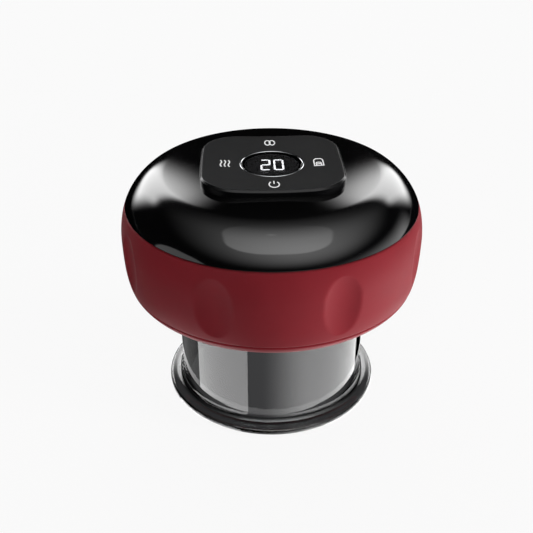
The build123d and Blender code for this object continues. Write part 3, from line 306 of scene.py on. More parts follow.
placeStudio()
print("camera and studio placed")

grainMix = {"share": 0.5, "low": 0.4, "high": 1.1, "bump": 0.5}


def surface(name, dark, light, rough, spot, grain, relief, shader=None, stretch=(1, 1, 1), smoke=None):
    # Colour drifts between two tones in soft spots, and a fine grain roughens and raises the surface.
    # spot and grain are sizes in millimetres, relief is the grain's height in millimetres, and smoke is
    # the tint that a clear piece takes on with its thickness, with its density per metre.
    material, tree = newMaterial(name)
    place = addNode(tree, "ShaderNodeTexCoord").outputs["Object"]
    along = addNode(tree, "ShaderNodeMapping", {"Scale": stretch, "Vector": place})
    spots = addNode(tree, "ShaderNodeTexNoise", {"Scale": 1 / (spot * mm), "Detail": 3.0, "Vector": along})
    grains = addNode(tree, "ShaderNodeTexNoise",
                     {"Scale": 1 / (grain * mm), "Detail": 2.0, "Roughness": 0.6, "Vector": along})
    tone = addNode(tree, "ShaderNodeMix",
                   {"data_type": "RGBA", "Factor": spots, 6: linear(dark), 7: linear(light)})
    dull = addNode(tree, "ShaderNodeMath",
                   {"operation": "MULTIPLY_ADD", 0: grains, 1: grainMix["share"], 2: spots})
    dull = addNode(tree, "ShaderNodeMapRange", {"From Min": grainMix["low"], "From Max": grainMix["high"],
                                                "To Min": rough[0], "To Max": rough[1], "Value": dull})
    bump = addNode(tree, "ShaderNodeBump",
                   {"Strength": grainMix["bump"], "Distance": relief * mm, "Height": grains})
    body = addNode(tree, "ShaderNodeBsdfPrincipled",
                   {**(shader or {}), "Base Color": tone.outputs[2], "Roughness": dull, "Normal": bump})
    out = addNode(tree, "ShaderNodeOutputMaterial", {"Surface": body})
    if smoke:
        tint = addNode(tree, "ShaderNodeVolumeAbsorption", {"Color": linear(smoke[0]), "Density": smoke[1]})
        tree.links.new(tint.outputs[0], out.inputs["Volume"])
    return material


metal = {"Metallic": 1.0}
softTouch = {"IOR": 1.3, "Specular IOR Level": 0.3, "Sheen Weight": 0.16, "Sheen Roughness": 0.4,
             "Sheen Tint": linear("#ffdcdc")}
recipes = {
    # High-gloss moulded ABS, buffed: near black, mirror sharp
    "dome_gloss": ("buffed_gloss_abs", "#050506", "#0a0a0b", (0.05, 0.09), 30, 2.0, 0.002, {"IOR": 1.53}),
    # Fine satin polycarbonate sheet: even dark grey, wide dull highlight
    "panel_matte": ("satin_polycarbonate_sheet", "#0e0e0f", "#131314", (0.42, 0.52), 12, 0.25, 0.01,
                    {"IOR": 1.58, "Specular IOR Level": 0.09}),
    # White translucent ink windows, lit from behind
    "icon_white": ("backlit_white_ink", "#eeeeee", "#ffffff", (0.35, 0.5), 2, 0.2, 0.01,
                   {"Emission Color": white, "Emission Strength": 0.45}),
    # Chromed brass ring: bright and dark reflections of the studio
    "ring_chrome": ("chromed_brass", "#9a9c9e", "#acaeb0", (0.08, 0.16), 6, 0.4, 0.003, metal),
    # Smoked polished acrylic: black until something is lit behind it
    "lens_glass": ("smoked_acrylic", "#5c5c5e", "#606062", (0.0, 0.004), 8, 1.0, 0.0,
                   {"Transmission Weight": 1.0, "IOR": 1.49}),
    # Moulded case under the lens: dull black, so that the lens stays dark
    "module_black": ("moulded_module_case", "#040404", "#070707", (0.6, 0.7), 5, 0.3, 0.02,
                     {"Specular IOR Level": 0.05}),
    # Light guides of the digits: evenly glowing white
    "segment_light": ("glowing_light_guide", "#f6f6f6", "#ffffff", (0.4, 0.5), 1.5, 0.2, 0.01,
                      {"Emission Color": white, "Emission Strength": 13.0}),
    # Soft-touch painted ABS: deep red, satin, with a velvet edge
    "band_red": ("soft_touch_red_paint", "#7b1922", "#841d27", (0.50, 0.58), 9, 0.22, 0.01, softTouch),
    # The same paint burnished along the top rim: a thin pink line of light
    "rim_red": ("burnished_red_paint", "#7b1922", "#841d27", (0.3, 0.36), 9, 0.22, 0.005, {"IOR": 1.5}),
    # The band's paint on the bottom cover, so that only the parting line sets them apart
    "cover_red": ("soft_touch_red_paint_low", "#7b1922", "#841d27", (0.50, 0.58), 9, 0.22, 0.01, softTouch),
    # Moulded ABS, as it leaves the tool: even dark grey, half dull
    "seat_dark": ("moulded_dark_abs", "#1b1b1d", "#232325", (0.4, 0.55), 8, 0.35, 0.02),
    # Translucent silicone: milky, dull, soft edges
    "seal_silicone": ("moulded_silicone", "#b9b9b7", "#cbcbc9", (0.45, 0.6), 4, 0.4, 0.02,
                      {"Subsurface Weight": 0.3, "Subsurface Scale": 0.001, "IOR": 1.41}),
    # Turned aluminium: fine bright scratches
    "plate_aluminium": ("brushed_aluminium", "#a9abad", "#bfc1c3", (0.25, 0.4), 3, 0.12, 0.01, metal,
                        (1, 8, 1)),
    # Polyimide film: smooth amber sheen
    "film_amber": ("polyimide_film", "#8a4a10", "#a35c18", (0.2, 0.3), 3, 0.5, 0.01),
    # Red tinted acrylic window over the lamps: clear and glossy
    "window_clear": ("red_tinted_acrylic", "#b03a3a", "#bf4545", (0.12, 0.2), 5, 0.5, 0.004,
                     {"Transmission Weight": 0.85, "IOR": 1.49}),
    # Cast epoxy lamp bodies: glossy red with a faint glow
    "led_red": ("red_epoxy_lens", "#a3120f", "#bb1a16", (0.1, 0.2), 1.5, 0.3, 0.004,
                {"Emission Color": linear("#ff2a18"), "Emission Strength": 0.6}),
    # Moulded natural nylon: ivory, half dull
    "pipe_plastic": ("moulded_nylon", "#cfcec6", "#dad9d2", (0.4, 0.55), 6, 0.35, 0.02),
    # Needled felt: rough, off-white, with a fibrous face
    "felt_white": ("needled_felt", "#cfcdc6", "#e3e1da", (0.85, 0.95), 0.8, 0.15, 0.12),
    # Blown polycarbonate with a smoke tint: clear, darker where it is thick, with sharp reflections
    "cup_clear": ("smoky_polycarbonate", "#f4f4f5", "#f8f8f8", (0.0, 0.02), 14, 1.5, 0.0,
                  {"Transmission Weight": 1.0, "IOR": 1.58}, (1, 1, 1), ("#6e6e71", 1400.0)),
    # Glass-filled nylon: dark grey with a dull, slightly flecked face
    "chassis_plastic": ("moulded_glass_filled_nylon", "#303032", "#3a3a3d", (0.5, 0.65), 5, 0.3, 0.04),
    # Shrunk PVC wrap: tight blue film with a clear highlight
    "cell_wrap": ("shrunk_pvc_wrap", "#155a86", "#1b6796", (0.2, 0.3), 7, 1.0, 0.02),
    # Plated sheet steel: plain grey metal, softly bright
    "steel_plain": ("plated_sheet_steel", "#9c9ea0", "#b4b6b8", (0.2, 0.35), 4, 0.3, 0.01, metal),
    # Sintered ferrite: dark grey and grainy like slate
    "magnet_grey": ("sintered_ferrite", "#3a3a3b", "#4a4a4b", (0.5, 0.65), 2, 0.15, 0.03),
    # Varnished laminations: brownish steel in fine layers
    "armature_steel": ("varnished_laminations", "#6b4a35", "#805a42", (0.35, 0.5), 1.2, 0.35, 0.08,
                       {"Metallic": 0.6}, (4, 1, 1)),
    # Oiled sintered bronze: warm, dull metal
    "bush_brass": ("oiled_sintered_bronze", "#a5803c", "#b8924a", (0.3, 0.45), 1.5, 0.1, 0.02, metal),
    # Moulded acetal: pale and waxy
    "cap_plastic": ("moulded_acetal", "#b9b8b1", "#c9c8c2", (0.35, 0.5), 5, 0.3, 0.02),
    # Moulded black nylon: near black, half dull
    "pump_plastic": ("moulded_black_nylon", "#242426", "#2e2e30", (0.4, 0.55), 4, 0.3, 0.03),
    # Moulded nitrile rubber: flat black
    "diaphragm_rubber": ("moulded_nitrile", "#151515", "#1d1d1d", (0.6, 0.75), 2, 0.2, 0.03),
    # Enamelled winding: copper turns side by side, 0.3 mm wire
    "coil_copper": ("enamelled_copper_wire", "#8f3f1f", "#b5582f", (0.2, 0.3), 1.0, 0.3, 0.1, metal,
                    (0.1, 0.1, 1)),
    # Extruded silicone hose: cloudy, with soft highlights along it
    "hose_silicone": ("extruded_silicone_hose", "#c2c1bd", "#d2d1cd", (0.3, 0.45), 4, 0.4, 0.01,
                      {"Subsurface Weight": 0.2, "Subsurface Scale": 0.001, "IOR": 1.41}),
    # Moulded phenolic: dull black
    "sensor_black": ("moulded_phenolic", "#161617", "#1e1e1f", (0.45, 0.6), 2, 0.2, 0.02),
    # Polished black ABS: a glossy frame round the charging socket
    "frame_black": ("polished_black_abs", "#070708", "#0c0c0d", (0.1, 0.18), 6, 0.6, 0.003),
    # The same black, rubbed down to a glossier finish; on the panel's chamfer and skirt its colour, darker
    # than the panel's face, is painted shade, and they stay darker than the dome
    "edge_black": ("rubbed_black_abs", "#060607", "#0a0a0b", (0.2, 0.28), 6, 0.6, 0.003,
                   {"Specular IOR Level": 0.16}),
    # Zinc-plated steel: cool grey metal with fine turning marks
    "screw_steel": ("zinc_plated_steel", "#85878a", "#a0a2a5", (0.25, 0.4), 1.5, 0.12, 0.01, metal),
    # Moulded epoxy cases of the board's parts: dull charcoal
    "part_black": ("moulded_epoxy_case", "#151516", "#202021", (0.5, 0.65), 1.5, 0.15, 0.02),
    # Extruded PVC of the leads: plain colour, half gloss
    "lead_red": ("extruded_red_pvc", "#9c1512", "#ae1c18", (0.3, 0.4), 3, 0.3, 0.01),
    "lead_blue": ("extruded_blue_pvc", "#15357f", "#1b4091", (0.3, 0.4), 3, 0.3, 0.01),
    # Solder resist on glass fibre board: glossy green
    "board_green": ("solder_resist_on_fr4", "#0e4a22", "#145a2b", (0.2, 0.35), 2, 0.4, 0.01),
    # Moulded switch bodies: black, half dull
    "switch_black": ("moulded_lcp_switch", "#171718", "#202021", (0.4, 0.5), 2, 0.2, 0.02),
    # Moulded white acetal: off-white and waxy
    "plunger_white": ("moulded_white_acetal", "#cfcfcb", "#dbdbd7", (0.3, 0.45), 2, 0.2, 0.02),
}
finishes = {slot: surface(*recipe) for slot, recipe in recipes.items()}
print("finishes made:", len(finishes))


def roundedLoop(corners, steps=7):
    # Half section with its corners rounded: each is (radius, height, rounding) in millimetres. Radius and
    # height make one complex number, so that turning a place is a product.
    points = []
    for i, (r, z, rounding) in enumerate(corners):
        if not rounding:
            points.append((r, z))
            continue
        here, before, after = [complex(*corners[k % len(corners)][:2]) for k in (i, i - 1, i + 1)]
        back, ahead = [(place - here) / abs(place - here) for place in (before, after)]
        half = abs(phase(ahead / back)) / 2
        middle = here + (back + ahead) / abs(back + ahead) * rounding / sin(half)
        first, last = [here + way * rounding / tan(half) - middle for way in (back, ahead)]
        for step in range(steps + 1):
            place = middle + first * rect(1, phase(last / first) * step / steps)
            points.append((place.real, place.imag))
    return points


def arcPath(x, y, radius, start, end, steps=40, tall=1.0):
    turns = [radians(start + (end - start) * i / steps) for i in range(steps + 1)]
    return [(x + radius * cos(a), y + radius * tall * sin(a)) for a in turns]


# Skin of the body: arcs of one half section, from the edge of the flat crown down to the flat underside
skin = {
    "crownRadius": 36.0,
    "crownHeight": 87.97,
    "arcs": (21.6, 12.0, 21.0, 36.0, 140.0, 41.0, 7.0),
    "turns": (17.5, 22.0, 37.5, 13.0, 4.0, 9.0, 77.0),
    "rimHeight": 76.57,
    "partHeight": 48.6,
    "underside": 43.65,
    "tuck": 0.015,  # keeps the finer skin inside the CAD one
}


def skinRadius(z, inset=0.0):
    r, top, slope = skin["crownRadius"] - skin["tuck"], skin["crownHeight"] - inset, 0.0
    for arc, turn in zip(skin["arcs"], skin["turns"]):
        arc, end = arc - inset, slope + radians(turn)
        low = top - arc * (cos(slope) - cos(end))
        if z >= low:
            return r + arc * (sin(acos(cos(slope) - (top - z) / arc)) - sin(slope))
        r += arc * (sin(end) - sin(slope))
        top, slope = low, end
    return r


def skinPoints(high, low, step):
    # Points down the skin from one height to another, closer together at both ends
    count = max(2, int((high - low) / step))
    heights = [high + (low - high) * (1 - cos(pi * i / count)) / 2 for i in range(count + 1)]
    return [(skinRadius(z), z, 0) for z in heights]


def tidied(piece, crease=40):
    # Merges what touches, closes the poles, turns the faces outwards and smooths all but the sharp edges
    shape = bmesh.new()
    shape.from_mesh(piece.data)
    bmesh.ops.remove_doubles(shape, verts=shape.verts, dist=weld)
    loose = [e for e in shape.edges if not e.link_faces]
    bmesh.ops.delete(shape, geom=loose, context="EDGES")
    bmesh.ops.recalc_face_normals(shape, faces=shape.faces)
    shape.to_mesh(piece.data)
    shape.free()
    piece.data.shade_smooth()
    piece.data.set_sharp_from_angle(angle=radians(crease))
    return piece


def newTree(name, inputs):
    # Geometry Nodes tree with named inputs
    tree = bpy.data.node_groups.new(name, "GeometryNodeTree")
    for label, kind in inputs.items():
        tree.interface.new_socket(label, in_out="INPUT", socket_type="NodeSocket" + kind)
    tree.interface.new_socket("Piece", in_out="OUTPUT", socket_type="NodeSocketGeometry")
    return tree, addNode(tree, "NodeGroupInput").outputs


def closedTree(tree, piece, finish):
    # Ends a tree: real geometry with its material
    piece = addNode(tree, "GeometryNodeRealizeInstances", {"Geometry": piece})
    piece = addNode(tree, "GeometryNodeSetMaterial", {"Geometry": piece, "Material": finish})
    addNode(tree, "NodeGroupOutput", {"Piece": piece})
    return tree


def plainPiece(name, source, tree, values):
    # Runs a tree on a mesh and keeps the result as a plain mesh with its faces outwards
    holder = newObject(name + "_holder", source)
    modifier = holder.modifiers.new("nodes", "NODES")
    modifier.node_group = tree
    for socket in tree.interface.items_tree:
        if socket.in_out == "INPUT" and socket.name in values:
            modifier[socket.identifier] = values[socket.name]
    ready = holder.evaluated_get(bpy.context.evaluated_depsgraph_get())
    mesh = bpy.data.meshes.new_from_object(ready)
    bpy.data.objects.remove(holder)
    return tidied(newObject(name, mesh))


def turnedTree(name, presses=()):
    # Turns a half section, given as points in order, round the Z axis; presses are the inputs of hollows
    # that are pressed into it from outside, at equal turns
    inputs = {"Half Section": "Geometry", "Steps": "Int", "Finish": "Material"}
    inputs.update({label: "Int" if "Count" in label else "Float" for label in presses})
    tree, given = newTree(name, inputs)
    section = given["Half Section"]
    count = addNode(tree, "GeometryNodeAttributeDomainSize", {"component": "MESH", "Geometry": section})
    rows = addNode(tree, "FunctionNodeIntegerMath", {"operation": "ADD", 0: count, 1: 1})
    columns = addNode(tree, "FunctionNodeIntegerMath", {"operation": "ADD", 0: given["Steps"], 1: 1})
    sheet = addNode(tree, "GeometryNodeMeshGrid", {"Vertices X": columns, "Vertices Y": rows})
    index = addNode(tree, "GeometryNodeInputIndex")
    column = addNode(tree, "FunctionNodeIntegerMath", {"operation": "DIVIDE_FLOOR", 0: index, 1: rows})
    row = addNode(tree, "FunctionNodeIntegerMath", {"operation": "MODULO", 0: index, 1: rows})
    row = addNode(tree, "FunctionNodeIntegerMath", {"operation": "MODULO", 0: row, 1: count})
    place = addNode(tree, "GeometryNodeInputPosition")
    point = addNode(tree, "GeometryNodeSampleIndex",
                    {"data_type": "FLOAT_VECTOR", "Geometry": section, "Value": place, "Index": row})
    point = addNode(tree, "ShaderNodeSeparateXYZ", {0: point}).outputs
    # arithmetic by name: each line is its result, its operation and what it takes
    made = {"column": column, "radius": point["X"], "z": point["Z"], **dict(given.items())}
    lines = [("sweep", "MULTIPLY", "column", 2 * pi), ("angle", "DIVIDE", "sweep", "Steps")]
    if presses:
        lines += [
            ("halfPitch", "DIVIDE", pi, "Dimple Count"),
            ("back", "MULTIPLY", "halfPitch", -1),
            ("turn", "SUBTRACT", "angle", "First Dimple"),
            ("off", "WRAP", "turn", "halfPitch", "back"),
            ("rise", "SUBTRACT", "z", "Dimple Height"),
            ("riseSquare", "MULTIPLY", "rise", "rise"),
            ("archWidth", "MULTIPLY", "Arch Radius", 2),
            ("shrink", "DIVIDE", "riseSquare", "archWidth"),
            ("hollow", "SUBTRACT", "Hollow Radius", "shrink"),
            ("hollowSquare", "MULTIPLY", "hollow", "hollow"),
            ("offSine", "SINE", "off"),
            ("side", "MULTIPLY", "Hollow Centre", "offSine"),
            ("sideSquare", "MULTIPLY", "side", "side"),
            ("inside", "SUBTRACT", "hollowSquare", "sideSquare"),
            ("inside", "MAXIMUM", "inside", 0),
            ("chord", "SQRT", "inside"),
            ("offCosine", "COSINE", "off"),
            ("centre", "MULTIPLY", "Hollow Centre", "offCosine"),
            ("near", "SUBTRACT", "centre", "chord"),
            ("radius", "SMOOTH_MIN", "radius", "near", "Edge Softness"),
        ]
    lines += [("cosine", "COSINE", "angle"), ("x", "MULTIPLY", "radius", "cosine"),
              ("sine", "SINE", "angle"), ("y", "MULTIPLY", "radius", "sine")]
    for label, operation, *taken in lines:
        values = {i: made.get(value, value) for i, value in enumerate(taken)}
        made[label] = addNode(tree, "ShaderNodeMath", {"operation": operation, **values})
    turned = addNode(tree, "ShaderNodeCombineXYZ", {"X": made["x"], "Y": made["y"], "Z": made["z"]})
    piece = addNode(tree, "GeometryNodeSetPosition", {"Geometry": sheet, "Position": turned})
    piece = addNode(tree, "GeometryNodeMergeByDistance", {"Geometry": piece, "Distance": weld})
    return closedTree(tree, piece, given["Finish"])


turnTree = turnedTree("turned piece")


def turned(name, corners, slot, steps=256, tree=turnTree, **values):
    points = roundedLoop(corners)
    source = bpy.data.meshes.new(name + "_section")
    source.from_pydata([(r * mm, 0, z * mm) for r, z in points], [], [])
    values.update({"Steps": steps, "Finish": finishes[slot]})
    return plainPiece(name, source, tree, values)


def bridged(name, loops, finish):
    # Joins loops of as many points each into one skin, the last to the first
    steps = len(loops[0])
    faces = []
    for k in range(len(loops)):
        first, second = k * steps, (k + 1) % len(loops) * steps
        faces += [(first + i, first + (i + 1) % steps, second + (i + 1) % steps, second + i)
                  for i in range(steps)]
    return joined(name, [place for loop in loops for place in loop], faces, finish)


def bars(name, pairs, finish):
    # Closed bars, each from the outlines of its two ends
    places, faces = [], []
    for low, high in pairs:
        count, first = len(low), len(places)
        places += low + high
        faces += [[first + count - 1 - i for i in range(count)], [first + count + i for i in range(count)]]
        faces += [(first + i, first + (i + 1) % count, first + count + (i + 1) % count, first + count + i)
                  for i in range(count)]
    return tidied(joined(name, places, faces, finish))


def carved(piece, cutter):
    # Cuts one mesh out of another and drops the cutter
    modifier = piece.modifiers.new("cut", "BOOLEAN")
    modifier.object = cutter
    modifier.solver = "EXACT"
    mesh = bpy.data.meshes.new_from_object(piece.evaluated_get(bpy.context.evaluated_depsgraph_get()))
    piece.modifiers.clear()
    piece.data = mesh
    bpy.data.objects.remove(cutter)
    return tidied(piece)


def standFor(piece, body, slot, *replaced):
    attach(piece, body)
    if replaced:
        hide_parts(*replaced)


# The pieces that stay as the CAD made them
for part in frame["record"]["subparts"]:
    mesh = nodes[part["node"]].data
    mesh.materials.clear()
    mesh.materials.append(finishes[part["material_slot"]])

# Control panel: satin plate with bowed sides, a dished face and a chamfer that catches thin lines of light
panel = {"halfX": 25.2, "halfY": 24.5, "bow": 1.0, "corner": 11.5, "face": 90.0, "dish": 300.0,
         "chamfer": 0.7, "edge": 0.14, "edgeStart": 0.2, "edgeEnd": 0.7, "rim": 2.2, "fit": 0.15, "rib": 0.8,
         "plate": 88.42, "low": 85.77, "steps": 320, "rings": 19, "ledge": 9.6, "ringHole": 11.4,
         "lensLow": 88.87, "farthest": 60.0, "exact": 1e-5, "crease": 50, "skirtRadius": 22.7}
flatNormal = 0.97  # a face whose normal rises more than this counts as flat


def panelLoop(inset):
    # Points round the panel's outline, set in from its edge, each found by halving a span again and again
    loop = []
    x1, y1, corner = panel["halfX"] - inset, panel["halfY"] - inset, panel["corner"] - inset
    for i in range(panel["steps"]):
        a = 2 * pi * (i + 0.5) / panel["steps"]
        near, far = 0.0, panel["farthest"]
        while far - near > panel["exact"]:
            r = (near + far) / 2
            x, y = abs(r * cos(a)), abs(r * sin(a))
            u = x + panel["bow"] * (y / y1) ** 2 - x1 + corner
            v = y + panel["bow"] * (x / x1) ** 2 - y1 + corner
            out = hypot(max(u, 0), max(v, 0)) + min(max(u, v), 0) - corner
            near, far = (r, far) if out < 0 else (near, r)
        loop.append((near * cos(a), near * sin(a)))
    return loop


def circleLoop(radius):
    turns = [2 * pi * (i + 0.5) / panel["steps"] for i in range(panel["steps"])]
    return [(radius * cos(a), radius * sin(a)) for a in turns]


def blended(first, last, share):
    return [(p[0] + (q[0] - p[0]) * share, p[1] + (q[1] - p[1]) * share) for p, q in zip(first, last)]


def flat(loop, z):
    return [(x, y, z) for x, y in loop]


def dishHeight(x, y):
    return panel["face"] + (x * x + y * y) / panel["dish"] / 2


def dished(loop, drop):
    return [(x, y, dishHeight(x, y) - drop) for x, y in loop]


# Gloss dome: polished shell with a gently crowned top, a window under the panel and a foot on the band
dome = {"wall": 2.2, "groove": 0.25, "footHeight": 2.0, "footWidth": 4.6, "edgeRound": 0.15,
        "edgeTurns": (0.5, 1.0, 1.57), "crown": 450.0, "settling": 30, "topRings": 10, "skinStep": 0.12,
        "skinStart": 0.01, "wallRings": 24, "wallStart": 0.2, "crease": 30}


def crownStart():
    # Slope, radius and height where the crowned top runs into the first arc of the skin
    slope = 0.0
    for i in range(dome["settling"]):
        slope = asin((skin["crownRadius"] + skin["arcs"][0] * sin(slope)) / dome["crown"])
    return slope, dome["crown"] * sin(slope), skin["crownHeight"] - skin["arcs"][0] * (1 - cos(slope))


def crowned(loop, drop):
    slope, _, height = crownStart()
    middle = height - drop - dome["crown"] * cos(slope)
    return [(x, y, middle + dome["crown"] * cos(asin(hypot(x, y) / dome["crown"]))) for x, y in loop]


def makeDome():
    wall, low, rounding = dome["wall"], skin["rimHeight"] + dome["groove"], dome["edgeRound"]
    _, start, height = crownStart()
    window, edge, rings = panelLoop(panel["rim"]), circleLoop(start), dome["topRings"]
    tops = [blended(window, edge, k / rings) for k in range(rings + 1)]
    outside = [(r, z) for r, z, _ in skinPoints(height - dome["skinStart"], low + rounding, dome["skinStep"])]
    outside += [(skinRadius(low) - rounding * (1 - cos(a)), low + rounding * (1 - sin(a)))
                for a in dome["edgeTurns"]]
    foot, shelf = skinRadius(low) - dome["footWidth"], low + dome["footHeight"]
    climb = height - wall - dome["wallStart"] - shelf
    heights = [shelf + climb * sin(k / dome["wallRings"] * pi / 2) for k in range(dome["wallRings"] + 1)]
    inside = [(foot, low), (foot, shelf)] + [(skinRadius(z, wall), z) for z in heights]
    loops = [crowned(loop, 0) for loop in tops]
    loops += [flat(circleLoop(r), z) for r, z in outside + inside]
    loops += [crowned(loop, wall) for loop in reversed(tops)]
    piece = tidied(bridged("dome_shell", loops, finishes["dome_gloss"]), dome["crease"])
    standFor(piece, "housing", "dome_gloss", "dome_cover")


makeDome()

# Grip band: soft-touch ring with eight oval finger dimples, open at the back for the charging port
band = {"wall": 3.0, "topRound": 0.9, "lowRound": 0.7, "steps": 448, "skinTop": 1.3, "skinLow": 1.0,
        "skinStep": 0.3, "wallRings": 14, "rimNormal": 0.1}
dimples = {"Dimple Count": 8, "First Dimple": radians(22.5), "Hollow Centre": 69.53 * mm,
           "Hollow Radius": 16.9 * mm, "Arch Radius": 62.0 * mm, "Dimple Height": 61.97 * mm,
           "Edge Softness": 0.08 * mm}
port = {"height": 63.77, "width": 11.6, "tall": 5.6, "near": 45, "far": 60, "steps": 48}


def portCutter():
    # Slot-shaped bar along Y for the charging opening
    half, straight, outline = port["tall"] / 2, (port["width"] - port["tall"]) / 2, []
    for i in range(port["steps"]):
        a = 2 * pi * i / port["steps"]
        side = 1 if cos(a) >= 0 else -1
        outline.append((straight * side + half * cos(a), port["height"] + half * sin(a)))
    ends = [[(x, y, z) for x, z in outline] for y in (port["near"], port["far"])]
    return bars("port_cutter", [ends], finishes["band_red"])


def makeBand():
    top, low, wall = skin["rimHeight"], skin["partHeight"], band["wall"]
    corners = [(skinRadius(top), top, band["topRound"])]
    corners += skinPoints(top - band["skinTop"], low + band["skinLow"], band["skinStep"])
    corners.append((skinRadius(low), low, band["lowRound"]))
    heights = [low + (top - low) * k / band["wallRings"] for k in range(band["wallRings"] + 1)]
    corners += [(skinRadius(z) - wall, z, 0) for z in heights]
    tree = turnedTree("grip band", dimples)
    piece = turned("grip_band_shell", corners, "band_red", band["steps"], tree, **dimples)
    carved(piece, portCutter())
    # the rounding of the top rim is burnished
    piece.data.materials.append(finishes["rim_red"])
    for face in piece.data.polygons:
        if face.center.z > (top - band["topRound"]) * mm and band["rimNormal"] < face.normal.z < flatNormal:
            face.material_index = 1
    standFor(piece, "housing", "band_red", "grip_band")


makeBand()

# Bottom cover: heel under the band, flat underside, wall round the cup, four screw wells
cover = {"wall": 2.4, "topRound": 0.7, "flatRadius": 46.4, "holeRadius": 35.6, "holeRound": 0.5, "guard": 2.0,
         "guardTop": 52.0, "skinTop": 0.9, "skinLow": 0.02, "skinStep": 0.1, "innerRadius": 47.4,
         "screws": 4, "firstScrew": 45, "screwRing": 44.5, "wellRadius": 2.1, "wellDepth": 1.6}


def makeCover():
    top, low, hole = skin["partHeight"], skin["underside"], cover["holeRadius"]
    guard, floor = hole + cover["guard"], low + cover["wall"]
    corners = [(skinRadius(top), top, cover["topRound"])]
    corners += skinPoints(top - cover["skinTop"], low + cover["skinLow"], cover["skinStep"])
    corners += [(cover["flatRadius"], low, 0), (hole, low, cover["holeRound"]), (hole, cover["guardTop"], 0),
                (guard, cover["guardTop"], 0), (guard, floor, 0), (cover["innerRadius"], floor, 0),
                (skinRadius(top) - band["wall"], top, 0)]
    piece = turned("bottom_cover_shell", corners, "cover_red")
    first, wells = cover["firstScrew"], []
    for x, y in arcPath(0, 0, cover["screwRing"], first, first + 360, cover["screws"])[1:]:
        outline = arcPath(x, y, cover["wellRadius"], 0, 360)[1:]
        wells.append([flat(outline, low - cover["wellDepth"]), flat(outline, low + cover["wellDepth"])])
    carved(piece, bars("screw_wells", wells, finishes["cover_red"]))
    standFor(piece, "housing", "cover_red", "bottom_cover")


makeCover()

# Clear cup: tube over the seal, rounded flange on the skin
cup = {"radius": 35.2, "wall": 2.2, "height": 51.9, "lipRound": 0.6, "flangeRadius": 40.5, "flangeThick": 2.5,
       "flangeRound": 1.2, "fillet": 3.0, "ringGap": 1.5, "ringsOut": 29, "ringsIn": 33,
       "steps": 320}


def makeCup():
    radius, thick, height = cup["radius"], cup["flangeThick"], cup["height"]
    bore, gap = radius - cup["wall"], cup["ringGap"]
    corners = [(bore, 0, cup["flangeRound"]), (cup["flangeRadius"], 0, cup["flangeRound"]),
               (cup["flangeRadius"], thick, cup["flangeRound"]), (radius, thick, cup["fillet"])]
    corners += [(radius, thick + cup["fillet"] + gap * k, 0) for k in range(1, cup["ringsOut"] + 1)]
    corners += [(radius, height, cup["lipRound"]), (bore, height, cup["lipRound"])]
    corners += [(bore, height - gap * k, 0) for k in range(1, cup["ringsIn"] + 1)]
    standFor(turned("cup_blown", corners, "cup_clear", cup["steps"]), "cup_body", "cup_clear", "cup")


makeCup()
print("shells made")


def makePanel():
    chamfer, edge, crown = panel["chamfer"], panel["edge"], skin["crownHeight"]
    start, end = edge * panel["edgeStart"], edge * panel["edgeEnd"]
    turns = [(0, chamfer + edge), (start, chamfer + start), (edge, chamfer - end), (chamfer - end, edge),
             (chamfer, start), (chamfer + edge, 0)]
    loops = [flat(panelLoop(0), crown)] + [dished(panelLoop(inset), drop) for inset, drop in turns]
    face, hole, rings = panelLoop(chamfer + edge), circleLoop(panel["ringHole"]), panel["rings"]
    loops += [dished(blended(face, hole, k / rings), 0) for k in range(1, rings + 1)]
    ledge, fit = circleLoop(panel["ledge"]), panel["rim"] + panel["fit"]
    window, rib = panelLoop(fit), panelLoop(fit + panel["rib"])
    loops += [flat(hole, panel["lensLow"]), flat(ledge, panel["lensLow"]), flat(ledge, panel["plate"]),
              flat(rib, panel["plate"]), flat(rib, panel["low"]), flat(window, panel["low"]),
              flat(window, crown)]
    piece = tidied(bridged("panel_plate", loops, finishes["panel_matte"]), panel["crease"])
    # the chamfer and the skirt under it are rubbed down, and their darker colour is painted shade
    piece.data.materials.append(finishes["edge_black"])
    for face in piece.data.polygons:
        if abs(face.normal.z) < flatNormal and hypot(*face.center[:2]) > panel["skirtRadius"] * mm:
            face.material_index = 1
    standFor(piece, "housing", "panel_matte", "control_panel")


makePanel()

# Icons: ink lines let into the face; paths in millimetres from each icon's middle
icons = {"line": 0.42, "stretch": 1.6, "deep": 0.3, "proud": 0.02, "x": 16.5, "y": 18.2, "low": -1.9}


def archPath(half, shoulder, corner, steps, tall=1.0):
    # Arch on the icon's base line: up one side, round both corners and down the other side
    middle = half - corner
    path = [(-half, icons["low"]), (-half, shoulder)]
    path += arcPath(-middle, shoulder, corner, 180, 90, steps, tall)[1:]
    return path + arcPath(middle, shoulder, corner, 90, 0, steps, tall) + [(half, icons["low"])]


def iconPaths():
    # Each path from its icon's middle, before the stretch towards the back
    power = [arcPath(0, -0.1, 1.7, 128, 412, 60), [(0, 0.2), (0, 1.0), (0, 1.9)]]
    mode = [arcPath(side * 0.84, 0, 0.98, 0, 360, 48, 1.22) for side in (-1, 1)]
    rises = [t / 24 for t in range(25)]
    waves = [[(i * 1.4 + (t - 0.5) * 0.45 + 0.34 * sin(2 * pi * t), 1.75 - 3.5 * t) for t in rises]
             for i in (-1, 0, 1)]
    cupping = [archPath(1.6, 0.7, 1.0, 12, 1.1), archPath(0.85, -0.6, 0.45, 8),
               [(x, icons["low"]) for x in (-1.85, 0, 1.85)], [(-0.8, -1.0), (0.8, -1.0)]]
    sets = [(0, -icons["y"], power), (0, icons["y"], mode), (-icons["x"], 0, waves), (icons["x"], 0, cupping)]
    return [[(x + middleX, y * icons["stretch"] + middleY) for x, y in path]
            for middleX, middleY, paths in sets for path in paths]


